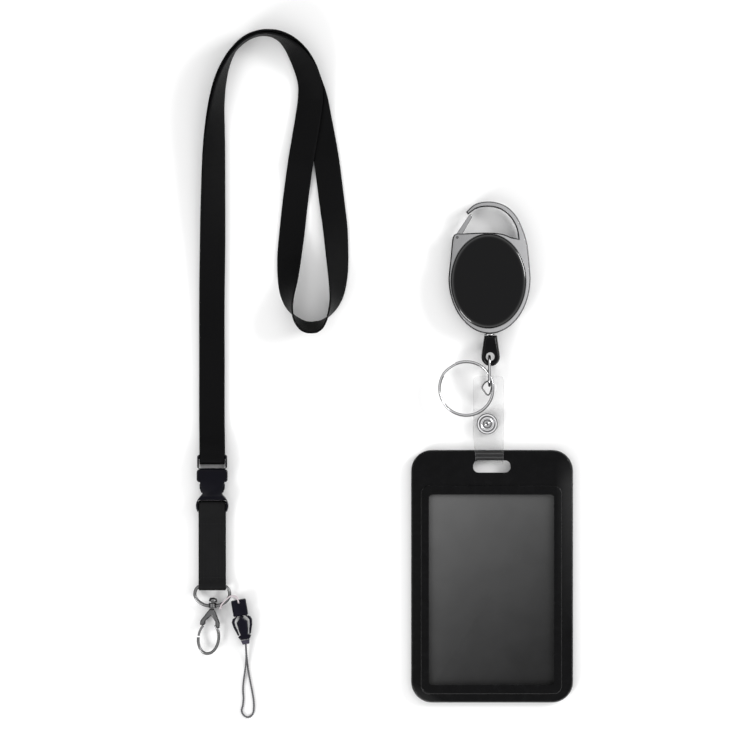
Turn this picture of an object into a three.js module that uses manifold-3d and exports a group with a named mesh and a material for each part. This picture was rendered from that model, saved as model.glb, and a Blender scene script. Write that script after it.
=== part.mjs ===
// A lanyard badge holder set, lying flat: a neck lanyard with a side-release buckle, a swivel hook and
// a phone string, and beside it a retractable badge reel that carries a split ring, a clear snap strap
// and a rigid card holder. Millimetres, +Z up, +Y towards the top of the lanyard. The origin is the
// middle of the card holder's back face, and every piece rests on or above the surface z = 0.

import * as THREE from 'three';
import { mergeVertices } from 'three/addons/utils/BufferGeometryUtils.js';
import Module from 'manifold-3d';

const wasm = await Module();
wasm.setup();

// ---------------------------------------------------------------- driving dimensions
// Clearances between pieces that fit into each other
const FIT = 0.1;
const SLIDE_FIT = 0.3;
const OVERCUT = 2;

// Card holder
const HOLDER_WIDTH = 69.8;
const HOLDER_LENGTH = 108.9;
const HOLDER_CORNER = 9;
const BORDER_THICKNESS = 3.6;
const BEZEL_RISE = 0.8;
const BEZEL_MARGIN_SIDE = 3.4;
const BEZEL_MARGIN_END = 3.9;
const WINDOW_WIDTH = 54;
const WINDOW_LENGTH = 82.1;
const WINDOW_CORNER = 1.5;
const WINDOW_OFFSET = { x: -0.3, y: -5.8 };
const PANE_LAP = 1.6;
const PANE_THICKNESS = 0.6;
const BACK_THICKNESS = 1.35;
const BACK_TONGUE = 0.7;
const BACK_TONGUE_THICKNESS = 0.5;
const CARD_SPACE = 1.1;
const SLOT_X = -0.12;
const SLOT_WIDTH = 16.15;
const SLOT_HEIGHT = 5.25;
const SLOT_CORNER = 2.4;
const SLOT_FROM_TOP = 4.5;
const THUMB_RECESS_RADIUS = 8;

// Clear strap with its snap
// The pieces above the holder are placed for a holder whose top edge is at this y
const HOLDER_TOP_DATUM = 54.45;
const STRAP_X = -1.56;
const STRAP_WIDTH = 13.1;
const LOOP_X = -1.2;
const LOOP_WIDTH = 12;
const STRAP_SHEET = 0.6;
const STRAP_TOP = 86.5;
const STRAP_MIDDLE_Z = 2.45;
const STRAP_FLEX_Y = 58.7;
const STRAP_FLEX_GAP = 1.4;
const STRAP_DOUBLE_LENGTH = 13;
const STRAP_HOLE = { x: -1.4, y: 81.2, width: 6.9, height: 6 };
const SNAP = { x: -2.1, y: 65.7, radius: 4.5, ridge: 3.25, post: 1.2, height: 0.9 };

// Rings between the strap and the cord end
const CHAIN_X = -1.2;
const CHAIN_Z = 4.4;
const LINK_TOP = 94.9;
const LINK_BOTTOM = 82.2;
const LINK_WIRE = 0.6;
const LINK_INNER_HEIGHT = 4.7;
const SMALL_RING_WIRE = 0.35;
const SMALL_RING_Z = 3.6;
const SPLIT_RING_X = -11.1;
const SPLIT_RING_Y = 80.8;
const SPLIT_RING_RADIUS = 11.55;
const SPLIT_RING_WIRE = 0.5;
const SPLIT_RING_Z = 4.85;

// Badge reel
const REEL_X = -1.2;
const REEL_BOTTOM_Y = 104.6;
const REEL_HALF_WIDTH = 17.7;
const REEL_HALF_LENGTH = 24.1;
const FRAME_BOTTOM_Z = 1.5;
const FRAME_THICKNESS = 5.6;
const COVER_X = -1.7;
const COVER_Y = 127.2;
const COVER_HALF_WIDTH = 16.4;
const COVER_HALF_LENGTH = 20.5;
const COVER_THICKNESS = 2.5;
const FRAME_WALL = 1.6;
const SPOOL_RADIUS = 12.6;
const SPOOL_DRUM_RADIUS = 7.4;
const SPOOL_FLANGE = 0.6;
const AXLE_RADIUS = 2;
const CORD_RADIUS = 0.45;
const EYELET_RADIUS = 2.2;
const GATE_PIVOT = { x: -15.1, y: 146 };
const GATE_LENGTH = 11.6;
const GATE_ANGLE = THREE.MathUtils.degToRad(58);
const GATE_HALF_WIDTH = 0.8;
const GATE_PIN_RADIUS = 0.6;
const CORD_END_TOP = 103.8;
const CORD_END_HOLE = { x: -0.86, y: 94.7, radius: 1.9 };
const CORD_END_LOBE = { y: 94.6, radius: 4 };
const CORD_END_NECK_RADIUS = 2.7;
const CORD_END_THICKNESS = 4;

// Neck ribbon
const RIBBON_WIDTH = 11;
const RIBBON_THICKNESS = 0.8;
const SURFACE_GAP = 0.2;
const STACK_HALF_GAP = 0.575;

// Buckle, webbing and ring on the lower end of the lanyard
const BUCKLE_X = -120.7;
const BUCKLE_Z = 2.7;
const BUCKLE_HALF_THICKNESS = 2.5;
const BUCKLE_WALL = 0.9;
const MOUTH_TOP = 46.1;
const MOUTH_LENGTH = 5.5;
const MOUTH_HALF_WIDTH = 6.65;
const PRONG_BULGE = 5.45;
const RIBBON_SIDE_FIT = 0.25;
const PLUG_SIDE_WALL = 0.7;
const WEBBING_HALF_WIDTH = 5.9;
const WEBBING_THICKNESS = 0.8;
const WEBBING_FLEX_Y = 10.9;
const WEBBING_FLEX_GAP = 1.8;
const BAR_HALF_THICKNESS = 0.7;
const D_RING_WIRE = 0.7;
const D_RING_BAR_Y = -4.6;
const D_RING_SIDE_FIT = 1.6;
const D_RING_HEIGHT = 8.3;
const SWIVEL = { x: -120.6, y: -12.6, tilt: THREE.MathUtils.degToRad(-7) };
const COLLAR_RADIUS = 1.75;
const COLLAR_HALF_LENGTH = 1.15;
const STEM_RADIUS = 0.7;

// Hook
const HOOK_HALF_WIDTH = 4.4;
const HOOK_HALF_LENGTH = 6.7;
const HOOK_MIDDLE = -14.2;
const HOOK_WIRE = 0.6;
const HOOK_HEAD_THICKNESS = 3;
const HOOK_PIVOT = { x: -3.15, y: -7.9 };

// Phone string connector
const CONNECTOR = { x: -109.5, y: -10.1, z: 2.6, tilt: THREE.MathUtils.degToRad(10) };
const CAP_HALF_WIDTH = 3.2;
const CAP_LENGTH = 7;
const CAP_HALF_THICKNESS = 1.8;
const CAP_WALL = 0.5;
const TETHER_RADIUS = 0.3;
const STRING_RADIUS = 0.45;

// ---------------------------------------------------------------- materials
const paint = (color, roughness, metalness, opacity = 1) => new THREE.MeshStandardMaterial({
  color, roughness, metalness, opacity, transparent: opacity < 1,
});
const chrome = paint(0xc4c6c9, 0.22, 1);
const steel = paint(0x8d8f93, 0.35, 1);
const glossBlack = paint(0x141416, 0.15, 0);
const mattBlack = paint(0x17161d, 0.55, 0);
const satin = paint(0x111113, 0.45, 0);
const webbing = paint(0x18181a, 0.8, 0);
const clearVinyl = paint(0xe9ecee, 0.2, 0, 0.4);
const clearPane = paint(0x55575a, 0.1, 0, 0.5);
const greyString = paint(0x77797c, 0.7, 0);
const paleThread = paint(0xe6dadd, 0.7, 0);

// ---------------------------------------------------------------- shape helpers
function toSolid(geometry) {
  const bare = new THREE.BufferGeometry();
  bare.setAttribute('position', geometry.getAttribute('position').clone());
  if (geometry.index) bare.setIndex(geometry.index.clone());
  const merged = mergeVertices(bare, 1e-4);
  return new wasm.Manifold(new wasm.Mesh({
    numProp: 3,
    vertProperties: new Float32Array(merged.getAttribute('position').array),
    triVerts: new Uint32Array(merged.index.array),
  }));
}

function fromSolid(solid) {
  const mesh = solid.getMesh();
  const geometry = new THREE.BufferGeometry();
  geometry.setAttribute('position', new THREE.BufferAttribute(mesh.vertProperties, 3));
  geometry.setIndex(new THREE.BufferAttribute(mesh.triVerts, 1));
  geometry.computeVertexNormals();
  return geometry;
}

function cut(body, ...tools) {
  return fromSolid(tools.reduce((left, tool) => left.subtract(toSolid(tool)), toSolid(body)));
}

function join(...bodies) {
  return fromSolid(bodies.slice(1).reduce((sum, body) => sum.add(toSolid(body)), toSolid(bodies[0])));
}

function keepInside(body, limit) {
  return fromSolid(toSolid(body).intersect(toSolid(limit)));
}

// The same outline as straight steps, anticlockwise, without points that fall on each other where
// two curves meet
function inSteps(shape, curveSegments) {
  const distinct = (path) => path.getPoints(curveSegments)
    .filter((point, i, all) => point.distanceTo(all[(i + 1) % all.length]) > 1e-3);
  const rim = distinct(shape);
  const stepped = new THREE.Shape(THREE.ShapeUtils.isClockWise(rim) ? rim.reverse() : rim);
  stepped.holes = shape.holes.map((hole) => new THREE.Path(distinct(hole)));
  return stepped;
}

// An outline in the XY plane made into a slab from one height to another, its edges bevelled if asked
function slab(shape, lowZ, highZ, bevel = 0, curveSegments = 6) {
  const geometry = new THREE.ExtrudeGeometry(inSteps(shape, curveSegments), {
    depth: highZ - lowZ - 2 * bevel,
    bevelEnabled: bevel > 0,
    bevelThickness: bevel,
    bevelSize: bevel,
    bevelOffset: -bevel,
    bevelSegments: 1,
  });
  return geometry.translate(0, 0, lowZ + bevel);
}

// An outline drawn in the (y, z) plane and extruded along X about a middle
function acrossX(shape, middleX, halfWidth) {
  const geometry = new THREE.ExtrudeGeometry(inSteps(shape, 8), {
    depth: 2 * halfWidth, bevelEnabled: false,
  });
  geometry.rotateY(Math.PI / 2).rotateX(Math.PI / 2);
  return geometry.translate(middleX - halfWidth, 0, 0);
}

function block(lowX, highX, lowY, highY, lowZ, highZ) {
  const geometry = new THREE.BoxGeometry(highX - lowX, highY - lowY, highZ - lowZ);
  return geometry.translate((lowX + highX) / 2, (lowY + highY) / 2, (lowZ + highZ) / 2);
}

function roundedRectangle(width, length, corner, x = 0, y = 0) {
  const shape = new THREE.Shape();
  const [right, top] = [width / 2, length / 2];
  shape.absarc(x + right - corner, y - top + corner, corner, -Math.PI / 2, 0);
  shape.absarc(x + right - corner, y + top - corner, corner, 0, Math.PI / 2);
  shape.absarc(x - right + corner, y + top - corner, corner, Math.PI / 2, Math.PI);
  shape.absarc(x - right + corner, y - top + corner, corner, Math.PI, 1.5 * Math.PI);
  return shape;
}

function oval(x, y, halfWidth, halfLength) {
  const shape = new THREE.Shape();
  shape.absellipse(x, y, halfWidth, halfLength, 0, 2 * Math.PI);
  return shape;
}

// Evenly spread points on a smooth curve through the given ones
function smooth(points, perSpan) {
  const curve = new THREE.CatmullRomCurve3(points.map(([x, y]) => new THREE.Vector3(x, y, 0)));
  return curve.getPoints(perSpan * (points.length - 1)).map(({ x, y }) => [x, y]);
}

function polygon(points) {
  return new THREE.Shape(points.map(([x, y]) => new THREE.Vector2(x, y)));
}

function rodZ(x, y, radius, lowZ, highZ, sides = 16) {
  const geometry = new THREE.CylinderGeometry(radius, radius, highZ - lowZ, sides);
  return geometry.rotateX(Math.PI / 2).translate(x, y, (lowZ + highZ) / 2);
}

function rodY(x, z, radius, lowY, highY, sides = 16) {
  const geometry = new THREE.CylinderGeometry(radius, radius, highY - lowY, sides);
  return geometry.translate(x, (lowY + highY) / 2, z);
}

// A turned piece about the Z axis; the profile is (radius, height), anticlockwise and closed
function turned(profile, x, y, segments = 32) {
  const closed = [...profile, profile[0]].map(([radius, height]) => new THREE.Vector2(radius, height));
  return new THREE.LatheGeometry(closed, segments).rotateX(Math.PI / 2).translate(x, y, 0);
}

// A wire bent into a closed flat loop: a torus whose ring follows an anticlockwise curve
function wireLoop(curve, radius, segments, sides) {
  const torus = new THREE.TorusGeometry(1, 0.2, sides, segments);
  const position = torus.getAttribute('position');
  for (let i = 0; i < position.count; i += 1) {
    const turn = Math.atan2(position.getY(i), position.getX(i)) / (2 * Math.PI);
    const along = Math.min(Math.max(turn < -1e-6 ? turn + 1 : turn, 0), 1);
    const point = curve.getPointAt(along);
    const tangent = curve.getTangentAt(along);
    const out = ((Math.hypot(position.getX(i), position.getY(i)) - 1) / 0.2) * radius;
    const up = (position.getZ(i) / 0.2) * radius;
    position.setXYZ(i, point.x + tangent.y * out, point.y - tangent.x * out, point.z + up);
  }
  return torus;
}

function closedCurve(points, z) {
  return new THREE.CatmullRomCurve3(points.map(([x, y]) => new THREE.Vector3(x, y, z)), true);
}

// A round cord or wire along an open curve
function tube(curve, radius, steps, sides) {
  const section = new THREE.Shape();
  for (let i = 0; i < sides; i += 1) {
    const angle = (2 * Math.PI * i) / sides;
    const point = [radius * Math.cos(angle), radius * Math.sin(angle)];
    if (i === 0) section.moveTo(...point);
    else section.lineTo(...point);
  }
  return new THREE.ExtrudeGeometry(section, { steps, extrudePath: curve, bevelEnabled: false });
}

const root = new THREE.Group();

function piece(name, geometry, material, parent = root) {
  const mesh = new THREE.Mesh(geometry, material);
  mesh.name = name;
  parent.add(mesh);
  return mesh;
}

// ---------------------------------------------------------------- card holder
const holderTop = HOLDER_LENGTH / 2;
const bezelWidth = WINDOW_WIDTH + 2 * BEZEL_MARGIN_SIDE;
const bezelLength = WINDOW_LENGTH + 2 * BEZEL_MARGIN_END;
const bezelTopZ = BORDER_THICKNESS + BEZEL_RISE;
const backTopY = WINDOW_OFFSET.y + bezelLength / 2;
const backHalfWidth = bezelWidth / 2 - 0.7;
const pocketFloorZ = BACK_THICKNESS + FIT;
const pocketTopZ = pocketFloorZ + CARD_SPACE + PANE_THICKNESS + FIT;
const slotTopY = holderTop - SLOT_FROM_TOP;
const railBackZ = STRAP_MIDDLE_Z - 1.25;

function makeHolderFrame() {
  const { x, y } = WINDOW_OFFSET;
  const bottomY = -holderTop - OVERCUT;
  const recessHalf = backHalfWidth + SLIDE_FIT;
  const tongueLowZ = (BACK_THICKNESS - BACK_TONGUE_THICKNESS) / 2 - FIT;
  const tongueHighZ = tongueLowZ + BACK_TONGUE_THICKNESS + 2 * FIT;
  const grooveHalf = recessHalf + BACK_TONGUE;
  const plate = slab(roundedRectangle(HOLDER_WIDTH, HOLDER_LENGTH, HOLDER_CORNER), 0,
    BORDER_THICKNESS, 0.7);
  const bezel = slab(roundedRectangle(bezelWidth, bezelLength, WINDOW_CORNER + 2, x, y),
    BORDER_THICKNESS - 1, bezelTopZ, 0.35);
  const opening = slab(roundedRectangle(WINDOW_WIDTH, WINDOW_LENGTH, WINDOW_CORNER, x, y),
    pocketTopZ - 0.5, bezelTopZ + OVERCUT);
  const pocket = slab(roundedRectangle(WINDOW_WIDTH + 2 * PANE_LAP + 2 * FIT,
    WINDOW_LENGTH + 2 * PANE_LAP + 2 * FIT, WINDOW_CORNER, x, y), pocketFloorZ - 0.5, pocketTopZ);
  const backRecess = block(x - recessHalf, x + recessHalf, bottomY, backTopY + SLIDE_FIT,
    -OVERCUT, pocketFloorZ);
  const grooves = block(x - grooveHalf, x + grooveHalf, bottomY, backTopY + SLIDE_FIT,
    tongueLowZ, tongueHighZ);
  const slot = slab(roundedRectangle(SLOT_WIDTH, SLOT_HEIGHT, SLOT_CORNER, SLOT_X,
    slotTopY - SLOT_HEIGHT / 2), -OVERCUT, BORDER_THICKNESS + OVERCUT);
  const strapHalf = LOOP_WIDTH / 2 + 2 * SLIDE_FIT;
  const strapRelief = block(LOOP_X - strapHalf, LOOP_X + strapHalf, slotTopY - 1,
    holderTop + OVERCUT, -OVERCUT, railBackZ);
  return cut(join(plate, bezel), opening, pocket, backRecess, grooves, slot, strapRelief);
}

function makeHolderBack() {
  const { x, y } = WINDOW_OFFSET;
  const lowY = -holderTop;
  const tongueLowZ = (BACK_THICKNESS - BACK_TONGUE_THICKNESS) / 2;
  const panel = block(x - backHalfWidth, x + backHalfWidth, lowY, backTopY, 0, BACK_THICKNESS);
  const tongues = block(x - backHalfWidth - BACK_TONGUE, x + backHalfWidth + BACK_TONGUE, lowY,
    backTopY, tongueLowZ, tongueLowZ + BACK_TONGUE_THICKNESS);
  const thumbRecess = slab(oval(x, y - WINDOW_LENGTH / 2 + 2 * THUMB_RECESS_RADIUS,
    THUMB_RECESS_RADIUS, THUMB_RECESS_RADIUS * 0.6), -OVERCUT, 0.5);
  const outline = slab(roundedRectangle(HOLDER_WIDTH, HOLDER_LENGTH, HOLDER_CORNER), -OVERCUT,
    BORDER_THICKNESS);
  return keepInside(cut(join(panel, tongues), thumbRecess), outline);
}

function makePane() {
  const { x, y } = WINDOW_OFFSET;
  return slab(roundedRectangle(WINDOW_WIDTH + 2 * PANE_LAP, WINDOW_LENGTH + 2 * PANE_LAP,
    WINDOW_CORNER, x, y), pocketTopZ - PANE_THICKNESS - FIT / 2, pocketTopZ - FIT / 2);
}

piece('holder_frame', makeHolderFrame(), mattBlack);
piece('holder_back', makeHolderBack(), mattBlack);
piece('holder_window', makePane(), clearPane);

// ---------------------------------------------------------------- clear strap and snap
const chain = new THREE.Group();
chain.position.y = holderTop - HOLDER_TOP_DATUM;
root.add(chain);
const strapLowZ = STRAP_MIDDLE_Z - STRAP_SHEET;
const strapHighZ = STRAP_MIDDLE_Z + STRAP_SHEET;

// The folded end of the strap: a loop round the rail above the holder's slot, closed where its two
// layers meet beside the snap
function makeStrapLoop() {
  const endY = chain.position.y + STRAP_FLEX_Y - STRAP_FLEX_GAP / 2;
  const half = (BORDER_THICKNESS + 2 * SLIDE_FIT - railBackZ) / 2 + 0.1;
  const middleZ = (BORDER_THICKNESS + railBackZ) / 2;
  const foldY = slotTopY + half - 1.1;
  const meetY = holderTop + 1.9;
  const outer = new THREE.Shape();
  outer.moveTo(endY, strapLowZ);
  outer.lineTo(endY, strapHighZ);
  outer.lineTo(meetY + 0.6, strapHighZ);
  outer.lineTo(holderTop - 0.4, middleZ + half + STRAP_SHEET);
  outer.lineTo(foldY, middleZ + half + STRAP_SHEET);
  outer.absarc(foldY, middleZ, half + STRAP_SHEET, Math.PI / 2, 1.5 * Math.PI);
  outer.lineTo(holderTop - 0.4, middleZ - half - STRAP_SHEET);
  outer.lineTo(meetY + 0.6, strapLowZ);
  const inner = new THREE.Path();
  inner.moveTo(meetY, STRAP_MIDDLE_Z);
  inner.lineTo(holderTop + 0.2, middleZ + half);
  inner.lineTo(foldY, middleZ + half);
  inner.absarc(foldY, middleZ, half, Math.PI / 2, 1.5 * Math.PI);
  inner.lineTo(holderTop + 0.2, middleZ - half);
  outer.holes.push(inner);
  return acrossX(outer, LOOP_X, LOOP_WIDTH / 2);
}

function makeStrapUpper() {
  const lowY = STRAP_FLEX_Y + STRAP_FLEX_GAP / 2;
  const doubleTop = lowY + STRAP_DOUBLE_LENGTH;
  const front = slab(roundedRectangle(STRAP_WIDTH, STRAP_TOP - lowY, 2.2, STRAP_X,
    (STRAP_TOP + lowY) / 2), STRAP_MIDDLE_Z, strapHighZ);
  const frontEnd = block(STRAP_X - STRAP_WIDTH / 2, STRAP_X + STRAP_WIDTH / 2, lowY, lowY + 3,
    STRAP_MIDDLE_Z, strapHighZ);
  const back = slab(roundedRectangle(STRAP_WIDTH, STRAP_DOUBLE_LENGTH, 0.5, STRAP_X,
    (lowY + doubleTop) / 2), strapLowZ, STRAP_MIDDLE_Z + 0.05);
  const topHole = slab(roundedRectangle(STRAP_HOLE.width, STRAP_HOLE.height,
    STRAP_HOLE.height / 2 - 0.01, STRAP_HOLE.x, STRAP_HOLE.y), 0, strapHighZ + OVERCUT);
  const snapHole = rodZ(SNAP.x, SNAP.y, SNAP.post + FIT, 0, strapHighZ + OVERCUT);
  return cut(join(front, frontEnd, back), topHole, snapHole);
}

// The snap's back half: a flat cap with the post that is riveted through the strap
function makeSnapCap() {
  const topZ = strapLowZ - FIT;
  const lowZ = topZ - SNAP.height;
  const postTop = strapHighZ + FIT + SNAP.height - 0.3;
  return turned([[0, lowZ], [SNAP.radius - 0.6, lowZ], [SNAP.radius, lowZ + 0.5],
    [SNAP.radius, topZ], [SNAP.post, topZ], [SNAP.post, postTop - 0.3],
    [SNAP.post - 0.3, postTop], [0, postTop]], SNAP.x, SNAP.y, 20);
}

// The snap's front half: a flange with a rolled rim and the raised ring that holds the spring
function makeSnapSocket() {
  const z = strapHighZ + FIT;
  const bore = SNAP.post + FIT;
  return turned([[bore, z], [SNAP.radius, z], [SNAP.radius, z + 0.3], [SNAP.radius - 0.4, z + 0.45],
    [SNAP.ridge + 0.2, z + 0.3], [SNAP.ridge, z + SNAP.height], [SNAP.ridge - 0.9, z + SNAP.height],
    [SNAP.ridge - 1.2, z + 0.35], [bore, z + 0.35]], SNAP.x, SNAP.y, 20);
}

piece('strap_loop', makeStrapLoop(), clearVinyl);
piece('strap_upper', makeStrapUpper(), clearVinyl, chain);
piece('snap_cap', makeSnapCap(), chrome, chain);
piece('snap_socket', makeSnapSocket(), chrome, chain);

// ---------------------------------------------------------------- link, small ring and split ring
function makeLink() {
  const halfHeight = LINK_INNER_HEIGHT / 2 + LINK_WIRE;
  const straightHalf = (LINK_TOP - LINK_BOTTOM) / 2 - halfHeight;
  const outline = [];
  for (let i = 0; i < 8; i += 1) {
    const angle = (Math.PI * i) / 7;
    outline.push([halfHeight * Math.cos(angle), straightHalf + halfHeight * Math.sin(angle)]);
  }
  for (let i = 0; i < 8; i += 1) {
    const angle = Math.PI + (Math.PI * i) / 7;
    outline.push([halfHeight * Math.cos(angle), -straightHalf + halfHeight * Math.sin(angle)]);
  }
  const loop = wireLoop(closedCurve(outline, 0), LINK_WIRE, 28, 8);
  return loop.rotateY(Math.PI / 2).translate(CHAIN_X, (LINK_TOP + LINK_BOTTOM) / 2, CHAIN_Z);
}

// A small three-cornered ring that hangs on the link, between the strap and the split ring
function makeSmallRing() {
  const y = LINK_BOTTOM;
  const corners = [[-0.2, y + 1.2], [-1.6, y + 1.95], [-3.2, y + 1.2], [-4.3, y - 0.9],
    [-3.6, y - 2.2], [-2, y - 4], [-1.2, y - 3.7], [-0.5, y - 1.8]];
  return wireLoop(closedCurve(corners, SMALL_RING_Z), SMALL_RING_WIRE, 24, 6);
}

// Two turns of wire that lie on each other, with a short step from the lower turn to the upper one
function makeSplitRing() {
  const step = 0.5;
  const start = THREE.MathUtils.degToRad(150);
  const total = 4 * Math.PI - 1.3 * step;
  const rise = 2 * SPLIT_RING_WIRE + FIT;
  const count = 72;
  const points = [];
  for (let i = 0; i <= count; i += 1) {
    const turn = (total * i) / count;
    const climb = THREE.MathUtils.smoothstep(turn, 2 * Math.PI - step, 2 * Math.PI);
    const angle = start + turn;
    points.push(new THREE.Vector3(
      SPLIT_RING_X + SPLIT_RING_RADIUS * Math.cos(angle) - 0.15 * climb,
      SPLIT_RING_Y + SPLIT_RING_RADIUS * Math.sin(angle) + 0.3 * climb,
      SPLIT_RING_Z + rise * climb,
    ));
  }
  return tube(new THREE.CatmullRomCurve3(points), SPLIT_RING_WIRE, 64, 8);
}

piece('link', makeLink(), chrome, chain);
piece('small_ring', makeSmallRing(), chrome, chain);
piece('split_ring', makeSplitRing(), chrome, chain);

// ---------------------------------------------------------------- badge reel
const frameTopZ = FRAME_BOTTOM_Z + FRAME_THICKNESS;
const reelBottomY = REEL_BOTTOM_Y;
const reelMiddleY = REEL_BOTTOM_Y + REEL_HALF_LENGTH;
const spoolLowZ = FRAME_BOTTOM_Z + 0.4;
const spoolHighZ = frameTopZ - 0.4;

function makeReelFrame() {
  const rightX = REEL_X + REEL_HALF_WIDTH;
  const lowerHalf = Array.from({ length: 33 }, (_, i) => {
    const angle = Math.PI + (Math.PI * i) / 32;
    return [REEL_X + REEL_HALF_WIDTH * Math.cos(angle),
      reelMiddleY + REEL_HALF_LENGTH * Math.sin(angle)];
  });
  const outerBow = smooth([[rightX, reelMiddleY], [rightX - 0.7, 137], [14.9, 144], [13.1, 149.6],
    [10.2, 155.4], [5.6, 159.7], [-0.8, 161.5], [-7.2, 160.5], [-11.4, 157]], 5).slice(1);
  const innerBow = smooth([[-10.4, 155.9], [-6.4, 158.6], [-0.8, 159.2], [4, 157.9], [7.9, 154.6],
    [10.4, 150], [11.3, 145.4]], 4);
  const shoulder = smooth([[8.4, 146], [4, 147.6], [-3, 148.1], [-13.2, 147.7]], 4);
  const pivotCorner = smooth([[-15.1, 147.8], [-16.4, 147.2], [-17.1, 145.6], [-17.9, 138]], 3);
  const outline = polygon([...lowerHalf, ...outerBow, ...innerBow, ...shoulder, ...pivotCorner]);
  const plate = slab(outline, FRAME_BOTTOM_Z, frameTopZ, 0.5);
  const cavity = slab(oval(COVER_X, COVER_Y, COVER_HALF_WIDTH - FRAME_WALL,
    COVER_HALF_LENGTH - FRAME_WALL), FRAME_BOTTOM_Z - OVERCUT, frameTopZ + OVERCUT, 0, 14);
  const cordBore = rodY(REEL_X, CHAIN_Z, EYELET_RADIUS - 0.6 + FIT, reelBottomY - OVERCUT,
    COVER_Y - COVER_HALF_LENGTH + 3 * FRAME_WALL);
  const gateSlotHalf = GATE_HALF_WIDTH + 1.6;
  const middleZ = FRAME_BOTTOM_Z + FRAME_THICKNESS / 2;
  const gateSlot = block(-gateSlotHalf, GATE_LENGTH, -gateSlotHalf, gateSlotHalf,
    middleZ - 1.6 - SLIDE_FIT, middleZ + 1.6 + SLIDE_FIT);
  gateSlot.rotateZ(GATE_ANGLE - THREE.MathUtils.degToRad(14));
  gateSlot.translate(GATE_PIVOT.x, GATE_PIVOT.y, 0);
  const pinBore = rodZ(GATE_PIVOT.x, GATE_PIVOT.y, GATE_PIN_RADIUS + 0.05, FRAME_BOTTOM_Z - OVERCUT,
    frameTopZ + OVERCUT, 16);
  const noseGuard = block(-30, 30, 149.5, 170, 0, 20);
  const cutTools = fromSolid(toSolid(gateSlot).subtract(toSolid(noseGuard)));
  return cut(plate, cavity, cordBore, cutTools, pinBore);
}

function makeGate() {
  const middleZ = FRAME_BOTTOM_Z + FRAME_THICKNESS / 2;
  const arm = new THREE.Shape();
  arm.absarc(0, 0, 1.3, Math.PI / 3, 2 * Math.PI - Math.PI / 3);
  arm.lineTo(GATE_LENGTH - GATE_HALF_WIDTH, -GATE_HALF_WIDTH);
  arm.absarc(GATE_LENGTH - GATE_HALF_WIDTH, 0, GATE_HALF_WIDTH, -Math.PI / 2, Math.PI / 2);
  const lever = cut(slab(arm, middleZ - 1.6, middleZ + 1.6, 0.2),
    rodZ(0, 0, GATE_PIN_RADIUS + 0.05, -OVERCUT, 20, 16));
  lever.rotateZ(GATE_ANGLE);
  return lever.translate(GATE_PIVOT.x, GATE_PIVOT.y, 0);
}

function makeFrontCover() {
  return slab(oval(COVER_X, COVER_Y, COVER_HALF_WIDTH, COVER_HALF_LENGTH), frameTopZ + FIT,
    frameTopZ + FIT + COVER_THICKNESS, 0.9, 16);
}

function makeBackCover() {
  return slab(oval(COVER_X, COVER_Y, COVER_HALF_WIDTH, COVER_HALF_LENGTH), 0,
    FRAME_BOTTOM_Z - FIT, 0.3, 16);
}

function makeAxle() {
  return turned([[0, FRAME_BOTTOM_Z], [AXLE_RADIUS + 1, FRAME_BOTTOM_Z],
    [AXLE_RADIUS + 1, FRAME_BOTTOM_Z + 0.3], [AXLE_RADIUS, FRAME_BOTTOM_Z + 0.3],
    [AXLE_RADIUS, frameTopZ], [0, frameTopZ]], COVER_X, COVER_Y, 24);
}

// The cup that holds the power spring, with the groove for the cord round it
function makeSpool() {
  const bore = AXLE_RADIUS + FIT;
  const cup = SPOOL_DRUM_RADIUS - 1;
  return turned([[bore, spoolLowZ], [SPOOL_RADIUS, spoolLowZ], [SPOOL_RADIUS, spoolLowZ + SPOOL_FLANGE],
    [SPOOL_DRUM_RADIUS, spoolLowZ + SPOOL_FLANGE], [SPOOL_DRUM_RADIUS, spoolHighZ - SPOOL_FLANGE],
    [SPOOL_RADIUS, spoolHighZ - SPOOL_FLANGE], [SPOOL_RADIUS, spoolHighZ], [cup, spoolHighZ],
    [cup, spoolLowZ + 2 * SPOOL_FLANGE], [bore, spoolLowZ + 2 * SPOOL_FLANGE]], COVER_X, COVER_Y);
}

// A flat strip wound into a spiral inside the spool's cup
function makePowerSpring() {
  const inner = AXLE_RADIUS + 0.7;
  const outer = SPOOL_DRUM_RADIUS - 1 - SLIDE_FIT;
  const thickness = 0.35;
  const turns = 4;
  const steps = 16 * turns;
  const face = (offset) => Array.from({ length: steps + 1 }, (_, i) => {
    const angle = (2 * Math.PI * turns * i) / steps;
    const radius = inner + ((outer - thickness - inner) * i) / steps + offset;
    return [COVER_X + radius * Math.cos(angle), COVER_Y + radius * Math.sin(angle)];
  });
  const strip = polygon([...face(thickness), ...face(0).reverse()]);
  return slab(strip, spoolLowZ + 2 * SPOOL_FLANGE + FIT, spoolHighZ - FIT);
}

function makeWoundCord() {
  const lowZ = spoolLowZ + SPOOL_FLANGE + FIT;
  const highZ = spoolHighZ - SPOOL_FLANGE - FIT;
  return turned([[SPOOL_DRUM_RADIUS + FIT, lowZ], [SPOOL_RADIUS - 1.8, lowZ],
    [SPOOL_RADIUS - 1.2, lowZ + 0.7], [SPOOL_RADIUS - 1.2, highZ - 0.7],
    [SPOOL_RADIUS - 1.8, highZ], [SPOOL_DRUM_RADIUS + FIT, highZ]], COVER_X, COVER_Y);
}

function makeEyelet() {
  const bore = CORD_RADIUS + 0.35;
  const tubeRadius = EYELET_RADIUS - 0.6;
  const topY = COVER_Y - COVER_HALF_LENGTH + FRAME_WALL;
  const flangeY = reelBottomY - 0.6;
  const geometry = new THREE.LatheGeometry([[bore, flangeY], [EYELET_RADIUS, flangeY],
    [EYELET_RADIUS, reelBottomY - FIT], [tubeRadius, reelBottomY - FIT], [tubeRadius, topY],
    [bore, topY], [bore, flangeY]].map((p) => new THREE.Vector2(...p)), 24);
  return geometry.translate(REEL_X, 0, CHAIN_Z);
}

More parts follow.
